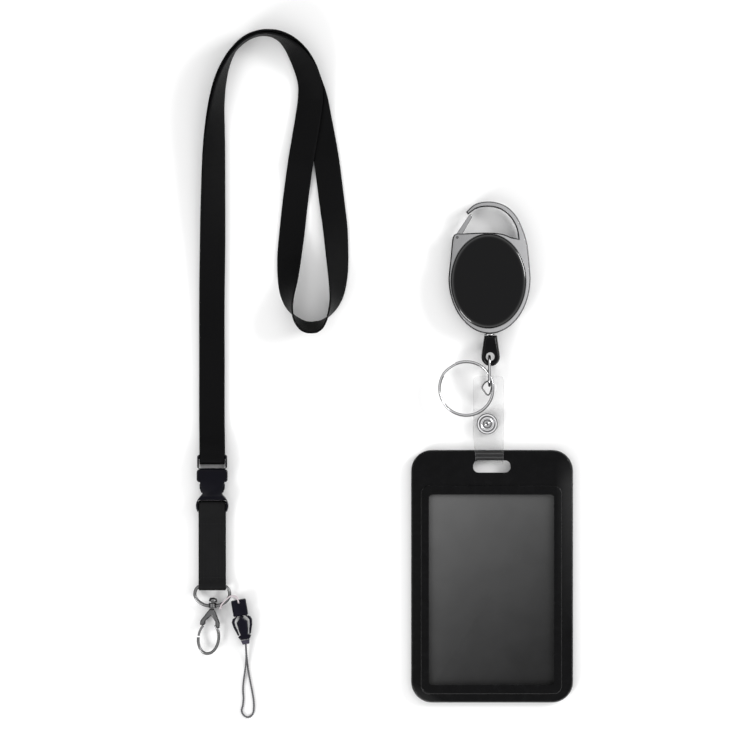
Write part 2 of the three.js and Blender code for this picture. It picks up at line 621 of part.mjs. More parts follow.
// The moulded end that grips the cord: round at its neck and a flat eye at its foot
function makeCordEnd() {
  const shape = new THREE.Shape();
  const lean = Math.asin((CORD_END_LOBE.radius - CORD_END_NECK_RADIUS)
    / (CORD_END_TOP - CORD_END_LOBE.y));
  const middle = REEL_X + 0.5;
  shape.absarc(middle, CORD_END_LOBE.y, CORD_END_LOBE.radius, Math.PI - lean, 2 * Math.PI + lean);
  shape.lineTo(middle + CORD_END_NECK_RADIUS, CORD_END_TOP);
  shape.lineTo(middle - CORD_END_NECK_RADIUS, CORD_END_TOP);
  const half = CORD_END_THICKNESS / 2;
  const body = slab(shape, CHAIN_Z - half, CHAIN_Z + half, 0.9);
  const eye = rodZ(CORD_END_HOLE.x, CORD_END_HOLE.y, CORD_END_HOLE.radius, 0, 10);
  const cordBore = rodY(REEL_X, CHAIN_Z, CORD_RADIUS + 0.15, CORD_END_TOP - 4, CORD_END_TOP + 1, 12);
  return cut(body, eye, cordBore);
}

function makePullCord() {
  return rodY(REEL_X, CHAIN_Z, CORD_RADIUS, CORD_END_TOP - 3.6, reelBottomY + 3.4, 8);
}

piece('reel_frame', makeReelFrame(), chrome, chain);
piece('carabiner_gate', makeGate(), chrome, chain);
piece('gate_pin', rodZ(GATE_PIVOT.x, GATE_PIVOT.y, GATE_PIN_RADIUS, FRAME_BOTTOM_Z + 0.1,
  frameTopZ - 0.1, 16), steel, chain);
piece('front_cover', makeFrontCover(), glossBlack, chain);
piece('back_cover', makeBackCover(), mattBlack, chain);
piece('reel_axle', makeAxle(), mattBlack, chain);
piece('spool', makeSpool(), mattBlack, chain);
piece('power_spring', makePowerSpring(), steel, chain);
piece('wound_cord', makeWoundCord(), satin, chain);
piece('outlet_eyelet', makeEyelet(), chrome, chain);
piece('pull_cord', makePullCord(), satin, chain);
piece('cord_end', makeCordEnd(), glossBlack, chain);

// ---------------------------------------------------------------- neck ribbon
// Each station is [x, y, tilt in degrees, lift, half gap]. Tilt turns the ribbon about its own line:
// at 0 it lies flat, at 90 it stands on its edge. Lift raises it over what it crosses, and the half
// gap is how far each of the two stacked strands lies from their common middle. The lifts and gaps
// are those of a ribbon of the route's width, and grow with a wider one.
const ROUTE_WIDTH = 11;
const G = STACK_HALF_GAP;
const SHARED_ROUTE = [
  [-120.7, 49.3, 0, 0.7, 1.4], [-120.7, 54, 0, 0.7, 1.4], [-120.8, 61, 0, 0.2, 0.8],
  [-120.9, 68, 0, 0, G], [-120.9, 92, 0, 0, G], [-120.9, 119, -3, 0, G], [-120.6, 142, -12, 0, G],
  [-120.4, 159, -22, 0, G], [-120, 182, -36, 0, G], [-119.6, 192.7, -47, 0, G],
  [-118.9, 203, -60, 0, G], [-117.2, 213.4, -71, 0, G], [-114.6, 221.2, -82, 0, G],
  [-111.2, 227.2, -90, 0, G], [-106.4, 231.6, -90, 0, G], [-101, 233.9, -90, 0, G],
  [-95.6, 234.1, -88, 0, 0.7], [-90.8, 232.4, -80, 0, 0.9], [-86.8, 229.2, -66, 0, 1],
  [-83.4, 224.8, -50, 0, 0.9], [-80.6, 219.4, -36, 0, 0.7], [-78.6, 213.2, -24, 0, G],
];
const FRONT_ROUTE = [
  [-78.4, 206, -10, 2 * G, 0], [-79.4, 197.9, -4, 2 * G, 0], [-81.1, 187.5, 0, 1.5, 0],
  [-82.6, 178.5, 0, 1.9, 0], [-83.9, 169.3, 0, 0.6, 0], [-85.2, 159, 0, 0, 0],
  [-86.3, 148.6, -4, 0, 0], [-87.4, 138.2, -16, 0, 0], [-88, 127.9, -38, 0, 0],
  [-88.1, 122.7, -52, 0, 0], [-87.5, 117.5, -70, 0, 0], [-86.1, 113.4, -88, 0, 0],
  [-84, 110.2, -103, 0, 0], [-81.4, 108, -113, 0, 0], [-79.6, 107.4, -116, 0, 0],
  [-78.2, 107.3, -116, 0, 0],
];
const BACK_ROUTE = [
  [-76.3, 206, -12, 0, 0], [-74.8, 197.9, -4, 0, 0], [-72.9, 188, 0, 0, 0], [-71.4, 179.2, 4, 0, 0],
  [-70.1, 169.3, 6, 0, 0], [-68.8, 159, 8, 0, 0], [-67.7, 150.3, 14, 0, 0], [-67, 140.8, 26, 0, 0],
  [-66.6, 133.1, 36, 0, 0], [-66.6, 127.9, 45, 0, 0], [-67, 122.7, 55, 0, 0], [-68, 118, 68, 0, 0],
  [-69.5, 114.4, 80, 0, 0], [-71.4, 111.2, 93, 0, 0], [-73.8, 108.5, 108, 0, 0],
  [-75.8, 107.5, 116, 0, 0], [-77.4, 107.3, 116, 0, 0],
];

// A long box bent along the route, with its width turned by the tilt at each step
function makeRibbon(route, side) {
  const line = new THREE.CatmullRomCurve3(route.map(([x, y]) => new THREE.Vector3(x, y, 0)));
  const spans = route.length - 1;
  const box = new THREE.BoxGeometry(RIBBON_WIDTH, RIBBON_THICKNESS, 1, 1, 1, spans * 3);
  const position = box.getAttribute('position');
  const up = new THREE.Vector3(0, 0, 1);
  for (let i = 0; i < position.count; i += 1) {
    const along = Math.min(Math.max(position.getZ(i) + 0.5, 0), 1);
    const station = Math.min(Math.floor(along * spans), spans - 1);
    const share = along * spans - station;
    const between = (column) => THREE.MathUtils.lerp(route[station][column],
      route[station + 1][column], share);
    const tilt = THREE.MathUtils.degToRad(between(2));
    const halfGap = between(4) * (RIBBON_WIDTH / ROUTE_WIDTH);
    const tangent = line.getTangent(along);
    const across = new THREE.Vector3().crossVectors(tangent, up);
    const width = across.clone().multiplyScalar(Math.cos(tilt)).addScaledVector(up, Math.sin(tilt));
    const face = new THREE.Vector3().crossVectors(width, tangent);
    const height = SURFACE_GAP + (RIBBON_WIDTH / 2) * Math.abs(Math.sin(tilt))
      + (RIBBON_THICKNESS / 2 + halfGap) * Math.abs(Math.cos(tilt))
      + between(3) * (RIBBON_WIDTH / ROUTE_WIDTH);
    const point = line.getPoint(along).setZ(height).addScaledVector(face, side * halfGap);
    point.addScaledVector(width, -position.getX(i)).addScaledVector(face, position.getY(i));
    position.setXYZ(i, point.x, point.y, point.z);
  }
  return box;
}

piece('neck_strap_front', makeRibbon([...SHARED_ROUTE, ...FRONT_ROUTE], 1), satin);
piece('neck_strap_back', makeRibbon([...SHARED_ROUTE, ...BACK_ROUTE], -1), satin);

// ---------------------------------------------------------------- side-release buckle
const buckle = new THREE.Group();
buckle.position.set(BUCKLE_X, 0, BUCKLE_Z);
root.add(buckle);
const mouthBottom = MOUTH_TOP - MOUTH_LENGTH;
const mouthInnerHalf = MOUTH_HALF_WIDTH - BUCKLE_WALL;
const mouthInnerZ = BUCKLE_HALF_THICKNESS - BUCKLE_WALL;
const plugTop = MOUTH_TOP + 6.3;
const plugSlotHalf = RIBBON_WIDTH / 2 + RIBBON_SIDE_FIT;
const barTopHalf = plugSlotHalf + PLUG_SIDE_WALL;

// The upper half: a bar for the neck ribbon, with a crosspiece and a guide that enter the socket
function makeBucklePlug() {
  const insert = mouthInnerHalf - SLIDE_FIT;
  const frame = slab(roundedRectangle(2 * barTopHalf, plugTop - MOUTH_TOP - SLIDE_FIT, 1, 0,
    (plugTop + MOUTH_TOP + SLIDE_FIT) / 2), -2.3, 2.3, 0.4);
  const slotBottom = MOUTH_TOP + 0.5;
  const crosspiece = block(-insert, insert, MOUTH_TOP - 2.4, slotBottom, -1.3, 1.3);
  const guide = block(-1.3, 1.3, mouthBottom - 3.2, MOUTH_TOP - 2, -0.8, 0.8);
  const slot = block(-plugSlotHalf, plugSlotHalf, slotBottom, plugTop - 1.8, -4, 4);
  const barFront = block(-plugSlotHalf, plugSlotHalf, slotBottom, plugTop + OVERCUT,
    BAR_HALF_THICKNESS, 4);
  const barBack = block(-plugSlotHalf, plugSlotHalf, slotBottom, plugTop + OVERCUT, -4,
    -BAR_HALF_THICKNESS);
  return cut(join(frame, crosspiece, guide), slot, barFront, barBack);
}

function makeProng(side) {
  const top = MOUTH_TOP - 2.7;
  const outline = [[3, top], [4.6, top], [4.6, mouthBottom], [PRONG_BULGE, mouthBottom - 0.7],
    [PRONG_BULGE, mouthBottom - 2.7], [4.7, mouthBottom - 4.6], [3.7, mouthBottom - 4.8],
    [3, mouthBottom - 2.2]];
  const points = outline.map(([x, y]) => [side * x, y]);
  return slab(polygon(points), -1.2, 1.2);
}

// The lower half: a mouth that the prongs enter, two plates with open sides, and a bar for the webbing
function makeBuckleSocket() {
  const half = BUCKLE_HALF_THICKNESS;
  const mouth = slab(roundedRectangle(2 * MOUTH_HALF_WIDTH, MOUTH_LENGTH, 1.2, 0,
    MOUTH_TOP - MOUTH_LENGTH / 2), -half, half, 0.4);
  const neckY = 35.6;
  const spine = slab(polygon([[-4, neckY - 1], [4, neckY - 1], [4.6, mouthBottom - 2],
    [5.6, mouthBottom + 1], [-5.6, mouthBottom + 1], [-4.6, mouthBottom - 2]]), -half, half);
  const flare = new THREE.Shape();
  const side = WEBBING_HALF_WIDTH;
  flare.moveTo(-4, neckY + 0.3);
  flare.bezierCurveTo(0.7 - side, 34.4, -side - 1.7, 32.4, -side - 1, 29.4);
  flare.lineTo(-side - 0.5, 27.9);
  flare.lineTo(side + 0.5, 27.9);
  flare.lineTo(side + 1, 29.4);
  flare.bezierCurveTo(side + 1.7, 32.4, side - 0.7, 34.4, 4, neckY + 0.3);
  const foot = slab(flare, -2.3, 2.3, 0.3);
  const cavity = block(-mouthInnerHalf, mouthInnerHalf, neckY - 0.1, MOUTH_TOP + OVERCUT,
    -mouthInnerZ, mouthInnerZ);
  const slotHalf = WEBBING_HALF_WIDTH + 0.15;
  const slotTop = 32.9;
  const barTop = 31.2;
  const slot = block(-slotHalf, slotHalf, barTop, slotTop, -4, 4);
  const front = block(-slotHalf, slotHalf, 20, barTop + 0.1, BAR_HALF_THICKNESS, 4);
  const back = block(-slotHalf, slotHalf, 20, barTop + 0.1, -4, -BAR_HALF_THICKNESS);
  const below = block(-slotHalf, slotHalf, 20, 28.4, -4, 4);
  return cut(join(mouth, spine, foot), cavity, slot, front, back, below);
}

piece('buckle_plug', makeBucklePlug(), mattBlack, buckle);
piece('buckle_prong_left', makeProng(-1), mattBlack, buckle);
piece('buckle_prong_right', makeProng(1), mattBlack, buckle);
piece('buckle_socket', makeBuckleSocket(), mattBlack, buckle);

// ---------------------------------------------------------------- lower webbing
// Doubled webbing in two halves that flex where they meet: one is looped round the buckle's bar and
// the other round the ring's straight side
function makeWebbingTop() {
  const endY = WEBBING_FLEX_Y + WEBBING_FLEX_GAP / 2;
  const t = WEBBING_THICKNESS;
  const outer = new THREE.Shape();
  outer.moveTo(endY, -t);
  outer.lineTo(endY, t);
  outer.lineTo(24, t);
  outer.lineTo(27.6, 1.85);
  outer.lineTo(30.7, 1.85);
  outer.absarc(30.7, 0, 1.85, Math.PI / 2, -Math.PI / 2, true);
  outer.lineTo(27.6, -1.85);
  outer.lineTo(24, -t);
  const inner = new THREE.Path();
  inner.moveTo(25.8, 0);
  inner.lineTo(27.9, 1.85 - t);
  inner.lineTo(30.7, 1.85 - t);
  inner.absarc(30.7, 0, 1.85 - t, Math.PI / 2, -Math.PI / 2, true);
  inner.lineTo(27.9, t - 1.85);
  outer.holes.push(inner);
  return acrossX(outer, 0, WEBBING_HALF_WIDTH);
}

function makeWebbingBottom() {
  const endY = WEBBING_FLEX_Y - WEBBING_FLEX_GAP / 2;
  const t = WEBBING_THICKNESS;
  const eye = D_RING_WIRE + 0.2;
  const fold = eye + 0.6;
  const outer = new THREE.Shape();
  outer.moveTo(endY, t);
  outer.lineTo(endY, -t);
  outer.lineTo(-1.6, -t);
  outer.lineTo(D_RING_BAR_Y + 1, -fold);
  outer.lineTo(D_RING_BAR_Y, -fold);
  outer.absarc(D_RING_BAR_Y, 0, fold, -Math.PI / 2, Math.PI / 2, true);
  outer.lineTo(D_RING_BAR_Y + 1, fold);
  outer.lineTo(-1.6, t);
  const inner = new THREE.Path();
  inner.moveTo(-2.6, 0);
  inner.lineTo(D_RING_BAR_Y, -eye);
  inner.absarc(D_RING_BAR_Y, 0, eye, -Math.PI / 2, Math.PI / 2, true);
  outer.holes.push(inner);
  return acrossX(outer, 0, WEBBING_HALF_WIDTH);
}

piece('webbing_top', makeWebbingTop(), webbing, buckle);
piece('webbing_bottom', makeWebbingBottom(), webbing, buckle);

// ---------------------------------------------------------------- ring and swivel hook
function makeDRing() {
  const w = WEBBING_HALF_WIDTH + D_RING_SIDE_FIT;
  const top = D_RING_BAR_Y;
  const h = D_RING_HEIGHT;
  const right = [[0.8 * w, top], [0.97 * w, top - 0.2 * h], [0.99 * w, top - 0.46 * h],
    [0.8 * w, top - 0.74 * h], [0.43 * w, top - 0.94 * h]];
  const left = right.map(([x, y]) => [-x, y]);
  const loop = [[0.4 * w, top], [0, top], [-0.4 * w, top], ...left, [0, top - h],
    ...right.slice().reverse()];
  const ring = wireLoop(closedCurve(loop, 0), D_RING_WIRE, 48, 8);
  const collar = rodY(0, 0, COLLAR_RADIUS, -COLLAR_HALF_LENGTH, COLLAR_HALF_LENGTH);
  const bore = rodY(0, 0, STEM_RADIUS + 0.4, -OVERCUT, OVERCUT);
  const offset = SWIVEL.x - BUCKLE_X;
  return cut(join(ring, collar.translate(offset, SWIVEL.y, 0)), bore.translate(offset, SWIVEL.y, 0));
}

const hook = new THREE.Group();
hook.position.set(SWIVEL.x, SWIVEL.y, BUCKLE_Z);
hook.rotation.z = SWIVEL.tilt;
root.add(hook);

function makeSwivelRivet() {
  const headY = COLLAR_HALF_LENGTH + 0.4;
  const profile = [[0, -2.7], [STEM_RADIUS, -2.7], [STEM_RADIUS, headY], [1.8, headY],
    [1.8, headY + 0.8], [1.3, headY + 1.6], [0, headY + 1.9], [0, -2.7]];
  return new THREE.LatheGeometry(profile.map((p) => new THREE.Vector2(...p)), 24);
}

function hookArc(fromDegrees, toDegrees) {
  const points = [];
  const count = 24;
  for (let i = 0; i <= count; i += 1) {
    const angle = THREE.MathUtils.degToRad(THREE.MathUtils.lerp(fromDegrees, toDegrees, i / count));
    points.push(new THREE.Vector3(HOOK_HALF_WIDTH * Math.cos(angle),
      HOOK_MIDDLE + HOOK_HALF_LENGTH * Math.sin(angle), 0));
  }
  return new THREE.CatmullRomCurve3(points);
}

function makeHookBody() {
  const half = HOOK_HEAD_THICKNESS / 2;
  const topY = -COLLAR_HALF_LENGTH - 0.45;
  const head = slab(polygon([[-1, topY], [-1.9, topY - 1.4], [-4.4, -7.2], [-4.3, -8.9], [-2.6, -8.9],
    [-2, -6.6], [0, -4.4], [2, -6.6], [2.6, -9.4], [4.2, -9.2], [4.1, -7.2], [1.9, topY - 1.4],
    [1, topY]]), -half, half, 0.4);
  const wire = tube(hookArc(62, -177), HOOK_WIRE, 24, 8);
  const stemBore = rodY(0, 0, STEM_RADIUS + 0.05, -2.8, 0, 16);
  const gateGap = rodZ(HOOK_PIVOT.x, HOOK_PIVOT.y, 2.4, -0.75, 0.75);
  const pinBore = rodZ(HOOK_PIVOT.x, HOOK_PIVOT.y, 0.45, -4, 4, 12);
  return cut(join(head, wire), stemBore, gateGap, pinBore);
}

function makeHookGate() {
  const arm = tube(hookArc(131, 176), HOOK_WIRE - 0.1, 12, 8);
  const eye = rodZ(HOOK_PIVOT.x, HOOK_PIVOT.y, 1.1, -0.5, 0.5, 16);
  return cut(join(eye, arm), rodZ(HOOK_PIVOT.x, HOOK_PIVOT.y, 0.45, -4, 4, 12));
}

piece('d_ring', makeDRing(), steel, buckle);
piece('swivel_rivet', makeSwivelRivet(), steel, hook);
piece('hook_body', makeHookBody(), steel, hook);
piece('hook_gate', makeHookGate(), steel, hook);
piece('hook_gate_pin', rodZ(HOOK_PIVOT.x, HOOK_PIVOT.y, 0.4, -1.3, 1.3, 12), steel, hook);

// ---------------------------------------------------------------- phone string connector
const connector = new THREE.Group();
connector.position.set(CONNECTOR.x, CONNECTOR.y, CONNECTOR.z);
connector.rotation.z = CONNECTOR.tilt;
root.add(connector);
const capCavityHalf = CAP_HALF_WIDTH - CAP_WALL;

function makeConnectorCap() {
  const body = slab(roundedRectangle(2 * CAP_HALF_WIDTH, CAP_LENGTH, 0.5, 0, -CAP_LENGTH / 2),
    -CAP_HALF_THICKNESS, CAP_HALF_THICKNESS, 0.3);
  const cavity = block(-capCavityHalf, capCavityHalf, -CAP_LENGTH - OVERCUT, -2.6, -1, 1);
  const threadHole = rodZ(0, -1.3, 0.65, -4, 4, 16);
  return cut(body, cavity, threadHole);
}

function makeConnectorPlug() {
  const top = -CAP_LENGTH - SLIDE_FIT;
  const body = slab(polygon([[-1, top], [-1, -8.3], [-2.4, -9.7], [-2, -13.6], [-1.6, -15.2],
    [-2.9, -15.9], [-2, -17.4], [2, -17.4], [2.9, -15.9], [1.6, -15.2], [2, -13.6], [2.4, -9.7],
    [1, -8.3], [1, top]]), -1.6, 1.6, 0.3);
  const tongue = block(-0.5, 0.5, top - 1, -3, -0.75, 0.75);
  return join(body, tongue);
}

function makeConnectorProng(side) {
  const outline = [[1.45, -3.6], [2.4, -3.9], [2.4, -7.2], [3.9, -7.9], [4.45, -9.2], [4.1, -11.5],
    [3.3, -14], [2.9, -15.3], [2.15, -15.3], [2.5, -13.2], [3.1, -11], [3.2, -9.3], [2.6, -8.2],
    [1.45, -7]];
  const points = outline.map(([x, y]) => [side * x, y]);
  return slab(polygon(points), -0.8, 0.8);
}

function makeStringCollar() {
  const body = slab(polygon([[-1.9, -17.6], [-1.5, -19.4], [1.5, -19.4], [1.9, -17.6]]), -1.6, 1.6, 0.2);
  return cut(body, block(-0.65, 0.65, -25, -18, -1.15, 1.15));
}

piece('connector_cap', makeConnectorCap(), mattBlack, connector);
piece('connector_plug', makeConnectorPlug(), mattBlack, connector);
piece('connector_prong_left', makeConnectorProng(-1), mattBlack, connector);
piece('connector_prong_right', makeConnectorProng(1), mattBlack, connector);
piece('string_collar', makeStringCollar(), mattBlack, connector);

// ---------------------------------------------------------------- thread and string
// The thread goes through the cap's hole, over the ring's side, round its lower wire and back under it
const TETHER_ROUTE = [
  [-109.3, -11.4, 3], [-109.3, -11.2, 4.6], [-109.7, -9.9, 4.9], [-110.8, -8.9, 4.5],
  [-112.7, -8.5, 4], [-114.2, -9.6, 3.8], [-115.6, -10.9, 4.1], [-116.8, -12.4, 4.1],
  [-117.3, -13.9, 3.1], [-117.1, -14, 2.1], [-116.4, -12.6, 1.3], [-115.1, -11.1, 1.4],
  [-113.9, -9.6, 1.4], [-112.6, -8.6, 1.1], [-110.9, -8.6, 0.6], [-109.8, -9.8, 0.36],
  [-109.4, -10.8, 0.38], [-109.25, -11.3, 0.8], [-109.25, -11.4, 1.6],
];
// The string leaves the collar as two strands on each other, which part into a long loop
const STRING_ROUTE = [
  [-106.25, -28.5, 3.15], [-106.15, -31, 3], [-106.05, -34, 2.5], [-106.2, -37.5, 1.9],
  [-106.6, -41, 1.2], [-107.2, -45, 0.7], [-107.5, -49, 0.6], [-107.3, -53, 0.6], [-107.6, -56, 0.6],
  [-108.1, -58, 0.6], [-107.6, -59.6, 0.6], [-106.4, -60.7, 0.6], [-105.3, -61, 0.6],
  [-104.2, -60.6, 0.6], [-103.2, -59.3, 0.6], [-102.8, -57, 0.6], [-102.9, -54, 0.6],
  [-103.4, -50.5, 0.6], [-104.2, -46.5, 0.6], [-105, -42, 0.6], [-105.6, -38, 0.65],
  [-105.9, -34.5, 1.1], [-106.1, -31.5, 1.8], [-106.25, -28.5, 2.1],
];

function makeCord(route, radius, steps, sides) {
  const curve = new THREE.CatmullRomCurve3(route.map((p) => new THREE.Vector3(...p)));
  return tube(curve, radius, steps, sides);
}

piece('phone_tether', makeCord(TETHER_ROUTE, TETHER_RADIUS, 48, 6), paleThread);
piece('phone_string', makeCord(STRING_ROUTE, STRING_RADIUS, 56, 6), greyString);

export default root;
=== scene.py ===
import math

import bmesh
import bpy
from mathutils import Matrix, Vector


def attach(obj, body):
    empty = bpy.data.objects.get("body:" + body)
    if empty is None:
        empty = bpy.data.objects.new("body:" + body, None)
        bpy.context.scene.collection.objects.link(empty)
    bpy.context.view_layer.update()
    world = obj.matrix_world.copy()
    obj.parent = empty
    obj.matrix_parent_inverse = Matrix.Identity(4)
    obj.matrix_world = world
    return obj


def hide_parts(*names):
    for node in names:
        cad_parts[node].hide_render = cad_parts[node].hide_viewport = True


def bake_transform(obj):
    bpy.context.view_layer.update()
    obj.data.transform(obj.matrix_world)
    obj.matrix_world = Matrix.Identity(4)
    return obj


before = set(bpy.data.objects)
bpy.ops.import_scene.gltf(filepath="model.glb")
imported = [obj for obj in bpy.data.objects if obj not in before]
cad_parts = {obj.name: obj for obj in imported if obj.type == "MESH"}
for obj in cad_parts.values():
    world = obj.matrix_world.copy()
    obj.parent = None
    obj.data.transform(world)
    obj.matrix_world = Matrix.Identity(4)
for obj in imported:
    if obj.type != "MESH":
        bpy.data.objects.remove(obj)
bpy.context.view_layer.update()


# ---------------------------------------------------------------- camera
# The set lies flat and is seen from straight above, with the lanyard's top bend at the top.
# A long lens from well above keeps the sides of the low pieces out of sight.
VIEW_WIDTH = 0.324
VIEW_MIDDLE = (-0.0505, 0.0868)
camera_lens = bpy.data.cameras.new("camera")
camera_lens.lens = 200
camera_lens.sensor_width = 36
camera = bpy.data.objects.new("camera", camera_lens)
camera.location = (*VIEW_MIDDLE, VIEW_WIDTH * camera_lens.lens / camera_lens.sensor_width)
bpy.context.collection.objects.link(camera)
bpy.context.scene.camera = camera


# ---------------------------------------------------------------- neck ribbon
# One black polyester satin ribbon, 11 mm wide, folded through the buckle's top bar. Its two strands
# run up together, turn over on their edge at the top bend and part into the loop for the neck.
RIBBON_WIDTH = 0.011
RIBBON_THICKNESS = 0.0008
TABLE_GAP = 0.2
TOGETHER = 0.575
FRONT_STRAND_LENGTH = 0.338
BACK_STRAND_LENGTH = 0.342


class Link:
    """A node's output that does sums: each operator adds a Math node."""

    def __init__(self, finish, socket):
        self.finish = finish
        self.socket = socket

    def _sum(self, operation, first, second):
        return self.finish.node("ShaderNodeMath", {"operation": operation}, [first, second])

    def __add__(self, other):
        return self._sum("ADD", self, other)

    __radd__ = __add__

    def __sub__(self, other):
        return self._sum("SUBTRACT", self, other)

    def __rsub__(self, other):
        return self._sum("SUBTRACT", other, self)

    def __mul__(self, other):
        return self._sum("MULTIPLY", self, other)

    __rmul__ = __mul__

    def __truediv__(self, other):
        return self._sum("DIVIDE", self, other)

    def __pow__(self, other):
        return self._sum("POWER", self, other)

    def __gt__(self, other):
        return self._sum("GREATER_THAN", self, other)


class Finish:
    """One material as it is mixed, with its Principled shader's fixed values set first."""

    def __init__(self, name, **fixed):
        self.material = bpy.data.materials.new(name)
        self.material.use_nodes = True
        self.tree = self.material.node_tree
        self.shader = self.tree.nodes["Principled BSDF"]
        for socket, value in fixed.items():
            self.shader.inputs[socket.replace("_", " ")].default_value = value

    def node(self, kind, settings=None, inputs=(), output=0):
        made = self.tree.nodes.new(kind)
        for key, value in (settings or {}).items():
            if key == "stops":
                ramp = made.color_ramp
                while len(ramp.elements) < len(value):
                    ramp.elements.new(0.5)
                for element, (place, colour) in zip(ramp.elements, value):
                    element.position = place
                    element.color = colour
            else:
                setattr(made, key, value)
        pairs = inputs.items() if isinstance(inputs, dict) else enumerate(inputs)
        for key, value in pairs:
            if isinstance(value, Link):
                self.tree.links.new(value.socket, made.inputs[key])
            elif value is not None:
                made.inputs[key].default_value = value
        return Link(self, made.outputs[output])

    def feed(self, socket, link):
        self.tree.links.new(link.socket, self.shader.inputs[socket])

    def place(self, scale=1000.0):
        """Where a point of the piece is, in millimetres unless another scale is given."""
        spot = self.node("ShaderNodeTexCoord", output=3)
        return self.node("ShaderNodeVectorMath", {"operation": "SCALE"}, {0: spot, 3: scale})

    def along_and_across(self, name):
        """The piece's own measure in millimetres, across it and along it."""
        run = self.node("ShaderNodeUVMap", {"uv_map": name})
        scaled = self.node("ShaderNodeVectorMath", {"operation": "SCALE"}, {0: run, 3: 1000.0})
        across = self.node("ShaderNodeSeparateXYZ", {}, [scaled], 0)
        along = self.node("ShaderNodeSeparateXYZ", {}, [scaled], 1)
        return across, along

    def noise(self, place, scale, detail=3.0):
        return self.node("ShaderNodeTexNoise", {}, {"Vector": place, "Scale": scale,
                                                    "Detail": detail})

    def wave(self, value, pitch):
        """A ridge that comes back every pitch, from -1 to 1."""
        return self.node("ShaderNodeMath", {"operation": "SINE"}, [value * (2 * math.pi / pitch)])

    def between(self, value, low, high, top=1.0):
        """0 up to low, rising to top at high and above."""
        return self.node("ShaderNodeMapRange", {}, {"Value": value, "From Min": low,
                                                    "From Max": high, "To Max": top})

    def steepness(self):
        """0 where the piece's surface lies flat, 1 where it stands upright."""
        facing = self.node("ShaderNodeTexCoord", output=1)
        height = self.node("ShaderNodeSeparateXYZ", {}, [facing], 2)
        return 1 - self.node("ShaderNodeMath", {"operation": "ABSOLUTE"}, [height])

    def blend_colours(self, share, first, second):
        return self.node("ShaderNodeMix", {"data_type": "RGBA"}, {0: share, 6: first, 7: second},
                         2)

    def bump(self, height, distance, strength=1.0):
        self.feed("Normal", self.node("ShaderNodeBump", {}, {"Strength": strength,
                                                             "Distance": distance,
                                                             "Height": height}))


def satin_finish():
    finish = Finish("black_satin", Sheen_Weight=0.012, Sheen_Roughness=0.4,
                    Specular_IOR_Level=0.07)
    across, along = finish.along_and_across("run")
    warp = finish.wave(across, 0.34)
    weft = finish.wave(along + finish.wave(across, 0.68) * 0.06, 0.5)
    patch = finish.noise(finish.place(), 0.05, 4.0)
    edge = finish.node("ShaderNodeMath", {"operation": "ABSOLUTE"}, [across]) > 4.9
    share = patch * 0.5 + warp * weft * 0.12 + edge * 0.25
    finish.feed("Base Color", finish.blend_colours(share, (0.0008, 0.0008, 0.001, 1),
                                                   (0.0035, 0.0035, 0.004, 1)))
    finish.feed("Roughness", patch * 0.2 + 0.4)
    finish.bump(warp * 0.4 + weft * 0.6 + edge * 1.2, 0.00004, 0.7)
    return finish.material


def smooth_line(points, per_span, closed=False):
    """Points on a centripetal curve through the given ones, per_span of them to each span."""
    points = [Vector(p) for p in points]
    count = len(points)
    line = []
    for span in range(count if closed else count - 1):
        inner = [points[span], points[(span + 1) % count]]
        before = points[span - 1] if closed or span > 0 else 2 * inner[0] - inner[1]
        after = (points[(span + 2) % count] if closed or span + 2 < count
                 else 2 * inner[1] - inner[0])
        p = [before, *inner, after]
        gap = [max((p[i + 1] - p[i]).length, 1e-9) ** 0.5 for i in range(3)]
        first = ((p[1] - p[0]) / gap[0] - (p[2] - p[0]) / (gap[0] + gap[1])
                 + (p[2] - p[1]) / gap[1]) * gap[1]
        second = ((p[2] - p[1]) / gap[1] - (p[3] - p[1]) / (gap[1] + gap[2])
                  + (p[3] - p[2]) / gap[2]) * gap[1]
        for step in range(per_span):
            t = step / per_span
            cube = -3 * p[1] + 3 * p[2] - 2 * first - second
            line.append(p[1] + first * t + cube * t * t
                        + (2 * p[1] - 2 * p[2] + first + second) * t ** 3)
    if not closed:
        line.append(points[-1])
    return line


def loft(name, rings, around=None, along=None, closed=False):
    """A skin over rings of points, with flat ends unless it closes on itself."""
    count = len(rings[0])
    spans = len(rings) if closed else len(rings) - 1
    around = around or [k / count for k in range(count + 1)]
    along = along or [i / len(rings) for i in range(len(rings) + 1)]
    faces, runs = [], []
    for i in range(spans):
        j = (i + 1) % len(rings)
        for k in range(count):
            m = (k + 1) % count
            faces.append((i * count + k, i * count + m, j * count + m, j * count + k))
            runs += [(around[k], along[i]), (around[k + 1], along[i]),
                     (around[k + 1], along[i + 1]), (around[k], along[i + 1])]
    if not closed:
        first = list(range(count))
        last = [(len(rings) - 1) * count + k for k in range(count)]
        faces += [first[::-1], last]
        runs += [(around[k], along[0]) for k in first[::-1]]
        runs += [(around[k], along[-1]) for k in range(count)]
    mesh = bpy.data.meshes.new(name)
    mesh.from_pydata([p for ring in rings for p in ring], [], faces)
    layer = mesh.uv_layers.new(name="run")
    for loop, run in zip(layer.data, runs):
        loop.uv = run
    return mesh


